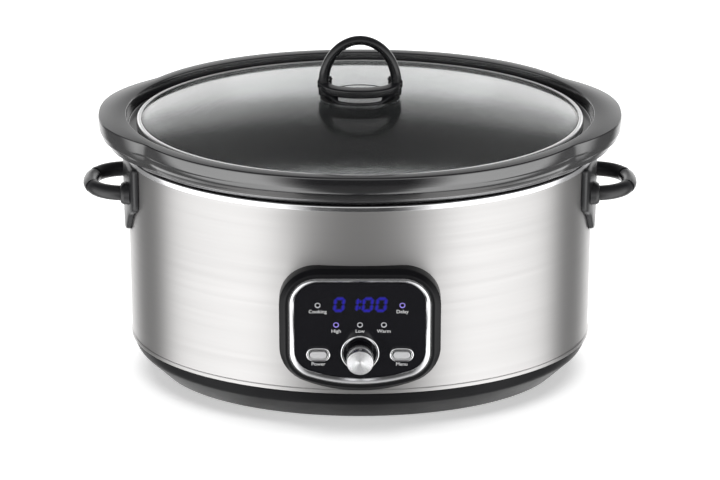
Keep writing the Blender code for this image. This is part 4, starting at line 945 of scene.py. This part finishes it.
def knobParts():
    low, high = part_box("knob")
    centre = Vector(((low.x + high.x) / 2, cookerY, (low.z + high.z) / 2))
    front, radius, back = cookerY - low.y, (high.x - low.x) / 2, cookerY - high.y
    bore, deep = knob["bore"], back + knob["boreDepth"]
    face = softened([(0, front - 0.0003, 0), (radius - 0.0012, front - 0.0002, 0.0004),
                     (radius - 0.0004, front, 0.0003), (radius, front - 0.0009, 0.0004),
                     (radius, back + 0.001, 0), (radius - 0.0004, back, 0.0003), (bore, back, 0.0002),
                     (bore, deep, 0), (0, deep, 0)])
    bm = spun(face, (0, -1, 0), centre, 96)
    finishPiece("knobCap", bm, turnedAluminium("turnedKnob", centre), "knob", ["knob"], 30)
    ringLow = faceFront + 0.0002
    ringTop, outer, inner = ringLow + knob["ringProud"], knob["ringOuter"], knob["ringInner"]
    ring = softened([(inner, ringLow, 0), (inner, ringTop, 0.0005), (outer, ringTop, 0.0007),
                     (outer, ringLow, 0)], 5, True)
    bm = spun(ring, (0, -1, 0), centre, 96, closed=True)
    finishPiece("knobRing", bm, "chrome", "housing", ["knob_ring"], 40)
    near, far = back - gap, faceFront + 0.0004
    skirt = softened([(bore, near, 0), (knob["skirtFront"], near, 0.0004), (knob["skirtBack"], far, 0.0004),
                      (bore, far, 0)], 4, True)
    bm = spun(skirt, (0, -1, 0), centre, 64, closed=True)
    finishPiece("knobSkirt", bm, "bezelPlastic", "knob", ["knob_skirt"], 40)


button = {"halfLength": 0.007, "halfHeight": 0.0035, "proud": 0.003, "capIn": 0.0006,
          "flange": 0.0021, "ringProud": 0.0016, "ringSkin": 0.0008}


def pushButton(name):
    spot = middleOf(f"{name}_button_ring")

    def loop(grow, forward):
        halfLength, halfHeight = button["halfLength"] + grow, button["halfHeight"] + grow
        return stadiumLoop(halfLength, halfHeight, (spot.x, spot.z), forward)

    low, wide, wall = faceFront + gap, button["flange"], gap + button["ringSkin"]
    top = low + button["ringProud"]
    section = softened([(wide, low, 0), (wide, top, 0.0009), (gap, top, 0.0006), (gap, faceBack, 0),
                        (wall, faceBack, 0), (wall, low, 0)], 6, True)
    bm = skinOver([loop(grow, forward) for grow, forward in section], closed=True)
    finishPiece(f"{name}ButtonRing", bm, "chrome", "housing", [f"{name}_button_ring"], 40)
    front, edge = faceFront + button["proud"], -button["capIn"]
    section = softened([(edge, faceBack + 0.0006, 0), (edge, front - 0.0004, 0.0002),
                        (edge - 0.0004, front, 0.0004), (edge - 0.0020, front, 0.0004),
                        (edge - 0.0024, front - 0.0001, 0)], 4)
    bm = skinOver([loop(grow, forward) for grow, forward in section], capStart=True, capEnd=True)
    finishPiece(f"{name}ButtonCap", bm, "buttonSilver", f"{name}_button", [f"{name}_button"], 40)


# Rings of the unlit lights carry a faint painted glow; the lit ones glow blue as lamps.
indicator = {"lit": ("delay", "high"), "hole": 0.75, "rim": 0.78, "dark": 0.73, "dish": 0.0009, "depth": 0.003,
             "unlitPaintedGlow": ((0.8, 0.8, 0.85), 0.2, (0.5, 0.5, 0.52)),
             "blue": ((0.30, 0.20, 0.9), 0.42, (0.3, 0.26, 0.6))}


def indicatorLights():
    # The unlit rings get a faint painted glow, the lit ones their lamp colour.
    unlitPaintedGlow, blue = glowing("lightRing", *indicator["unlitPaintedGlow"]), glowing("lightRingLit", *indicator["blue"])
    for name in lightNames:
        low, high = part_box(f"indicator_{name}")
        middle = (low + high) / 2
        radius, front = (high.x - low.x) / 2, cookerY - low.y
        dish, back = front - indicator["dish"], front - indicator["depth"]
        profile = softened([(0, dish, 0), (radius * indicator["hole"], dish, 0.0002),
                            (radius * indicator["rim"], front, 0.0002), (radius, front, 0.0003),
                            (radius, back, 0), (0, back, 0)])
        bm = spun(profile, (0, -1, 0), (middle.x, cookerY, middle.z), 40)
        finish = blue if name in indicator["lit"] else unlitPaintedGlow
        piece = finishPiece(f"light{name.capitalize()}", bm, finish, "housing",
                            [f"indicator_{name}"])
        piece.data.materials.append(finishOf("faceGloss"))
        for face in piece.data.polygons:
            away = Vector((face.center.x - middle.x, face.center.z - middle.z)).length
            if away < radius * indicator["dark"]:
                face.material_index = 1


digits = {"height": 0.0100, "width": 0.0062, "stroke": 0.0015, "slant": 0.12, "pitch": 0.0106, "drop": 0.0006,
          "lit": {"0": "abcdef", "1": "bc"}, "reading": "0100", "places": (-1.48, -0.48, 0.55, 1.52),
          "dotRise": 0.26, "dotRadius": 0.0007, "dark": (0.01, 0.01, 0.03)}
# The figures and the haze round them: name, growth, lift off the face, colour and strength.
clockLayers = (("clockGlowWide", 0.0010, 0.00008, (0.010, 0.006, 0.20), 0.16),
               ("clockGlow", 0.0005, 0.00012, (0.012, 0.006, 0.36), 0.32),
               ("clockFigures", 0.0, 0.00016, (0.012, 0.005, 0.5), 0.7))


def segmentLoop(name, grow):
    # One bar of a seven-segment figure, as a six-cornered outline about the figure's middle.
    w, h, s = digits["width"] / 2, digits["height"] / 2, digits["stroke"] / 2
    spots = {"a": (0, h, 0), "d": (0, -h, 0), "f": (-w, h / 2, 1), "b": (w, h / 2, 1),
             "e": (-w, -h / 2, 1), "c": (w, -h / 2, 1)}
    x, z, upright = spots[name]
    length = (h if upright else 2 * w) / 2 - 0.0003 + grow
    thick = s + grow
    bar = [(-length, 0), (-length + thick, thick), (length - thick, thick), (length, 0),
           (length - thick, -thick), (-length + thick, -thick)]
    if upright:
        bar = [(b, a) for a, b in bar][::-1]
    return [(x + a + (z + b) * digits["slant"], z + b) for a, b in bar]


def facing(x, z, lift):
    # Turns what lies flat to face the front, just off the panel's face.
    return Matrix.Translation((x, cookerY - faceFront - lift, z)) @ Matrix.Rotation(math.pi / 2, 4, "X")


def clockFigures():
    centre = middleOf("display_module")
    centre.z -= digits["drop"]
    dotRise = digits["dotRise"] * digits["height"]
    for name, grow, lift, colour, strength in clockLayers:
        bm = bmesh.new()
        for place, figure in zip(digits["places"], digits["reading"]):
            for segment in digits["lit"][figure]:
                middle = centre.x + place * digits["pitch"]
                corners = [(middle + x, cookerY - faceFront - lift, centre.z + z)
                           for x, z in segmentLoop(segment, grow)]
                bm.faces.new([bm.verts.new(corner) for corner in corners])
        for rise in (-dotRise, dotRise):
            dot = facing(centre.x + digits["slant"] * rise, centre.z + rise, lift)
            radius = digits["dotRadius"] + grow
            bmesh.ops.create_circle(bm, cap_ends=True, segments=16, radius=radius, matrix=dot)
        bmesh.ops.recalc_face_normals(bm, faces=bm.faces)
        for face in bm.faces:
            if face.normal.y > 0:
                face.normal_flip()
        finish = glowing(name, colour, strength, digits["dark"])
        finishPiece(name, bm, finish, "housing", weld=False)


# The printed words are light ink with a faint painted glow on top.
lettering = {"size": 0.0040, "lift": 0.00008, "underLight": 0.0051, "underButton": 0.0086,
             "inkWithPaintedGlow": ((0.75, 0.75, 0.76), 0.36, (0.55, 0.55, 0.55))}


def printedWords():
    places = {}
    for name in lightNames:
        spot = middleOf(f"indicator_{name}")
        places[name.capitalize()] = (spot.x, spot.z - lettering["underLight"])
    for name in buttonNames:
        spot = middleOf(f"{name}_button_ring")
        places[name.capitalize()] = (spot.x, spot.z - lettering["underButton"])
    # Ink colour plus a faint painted glow.
    inkWithPaintedGlow = glowing("panelInkPaintedGlow", *lettering["inkWithPaintedGlow"])
    for word, (x, z) in places.items():
        text = bpy.data.curves.new(word, "FONT")
        text.body = word
        text.size = lettering["size"]
        text.align_x, text.align_y = "CENTER", "CENTER"
        holder = bpy.data.objects.new(word, text)
        scene.collection.objects.link(holder)
        bpy.context.view_layer.update()
        mesh = bpy.data.meshes.new_from_object(holder.evaluated_get(bpy.context.evaluated_depsgraph_get()))
        bpy.data.objects.remove(holder)
        bm = bmesh.new()
        bm.from_mesh(mesh)
        bpy.data.meshes.remove(mesh)
        bmesh.ops.transform(bm, matrix=facing(x, z, lettering["lift"]), verts=bm.verts)
        finishPiece(f"print{word}", bm, inkWithPaintedGlow, "housing", weld=False)


panelBezel()
panelTrim()
panelFace()
knobParts()
for name in buttonNames:
    pushButton(name)
indicatorLights()
clockFigures()
printedWords()
print("panel done")


# Pieces of the frame that keep their own shape; those not named here are screws.
keptFinishes = {
    "bottom_cover": "coverPlastic", "heater_band": "heaterFoil", "base_strap": "screwSteel",
    "centre_stud": "screwSteel", "strap_nut": "screwSteel", "thermal_cutout": "moulded",
    "temperature_sensor": "moulded", "power_board": "boardGreen", "relay": "moulded",
    "terminal_block": "moulded", "capacitor": "screwSteel", "control_board": "boardGreen",
    "display_module": "faceGloss", "encoder_body": "moulded", "encoder_shaft": "screwSteel",
    "power_switch": "moulded", "menu_switch": "moulded",
}


def repaintFrame():
    for name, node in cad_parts.items():
        if node.hide_render or name == "panel_face":
            continue
        node.data.materials.clear()
        node.data.materials.append(finishOf(keptFinishes.get(name, "screwSteel")))


repaintFrame()
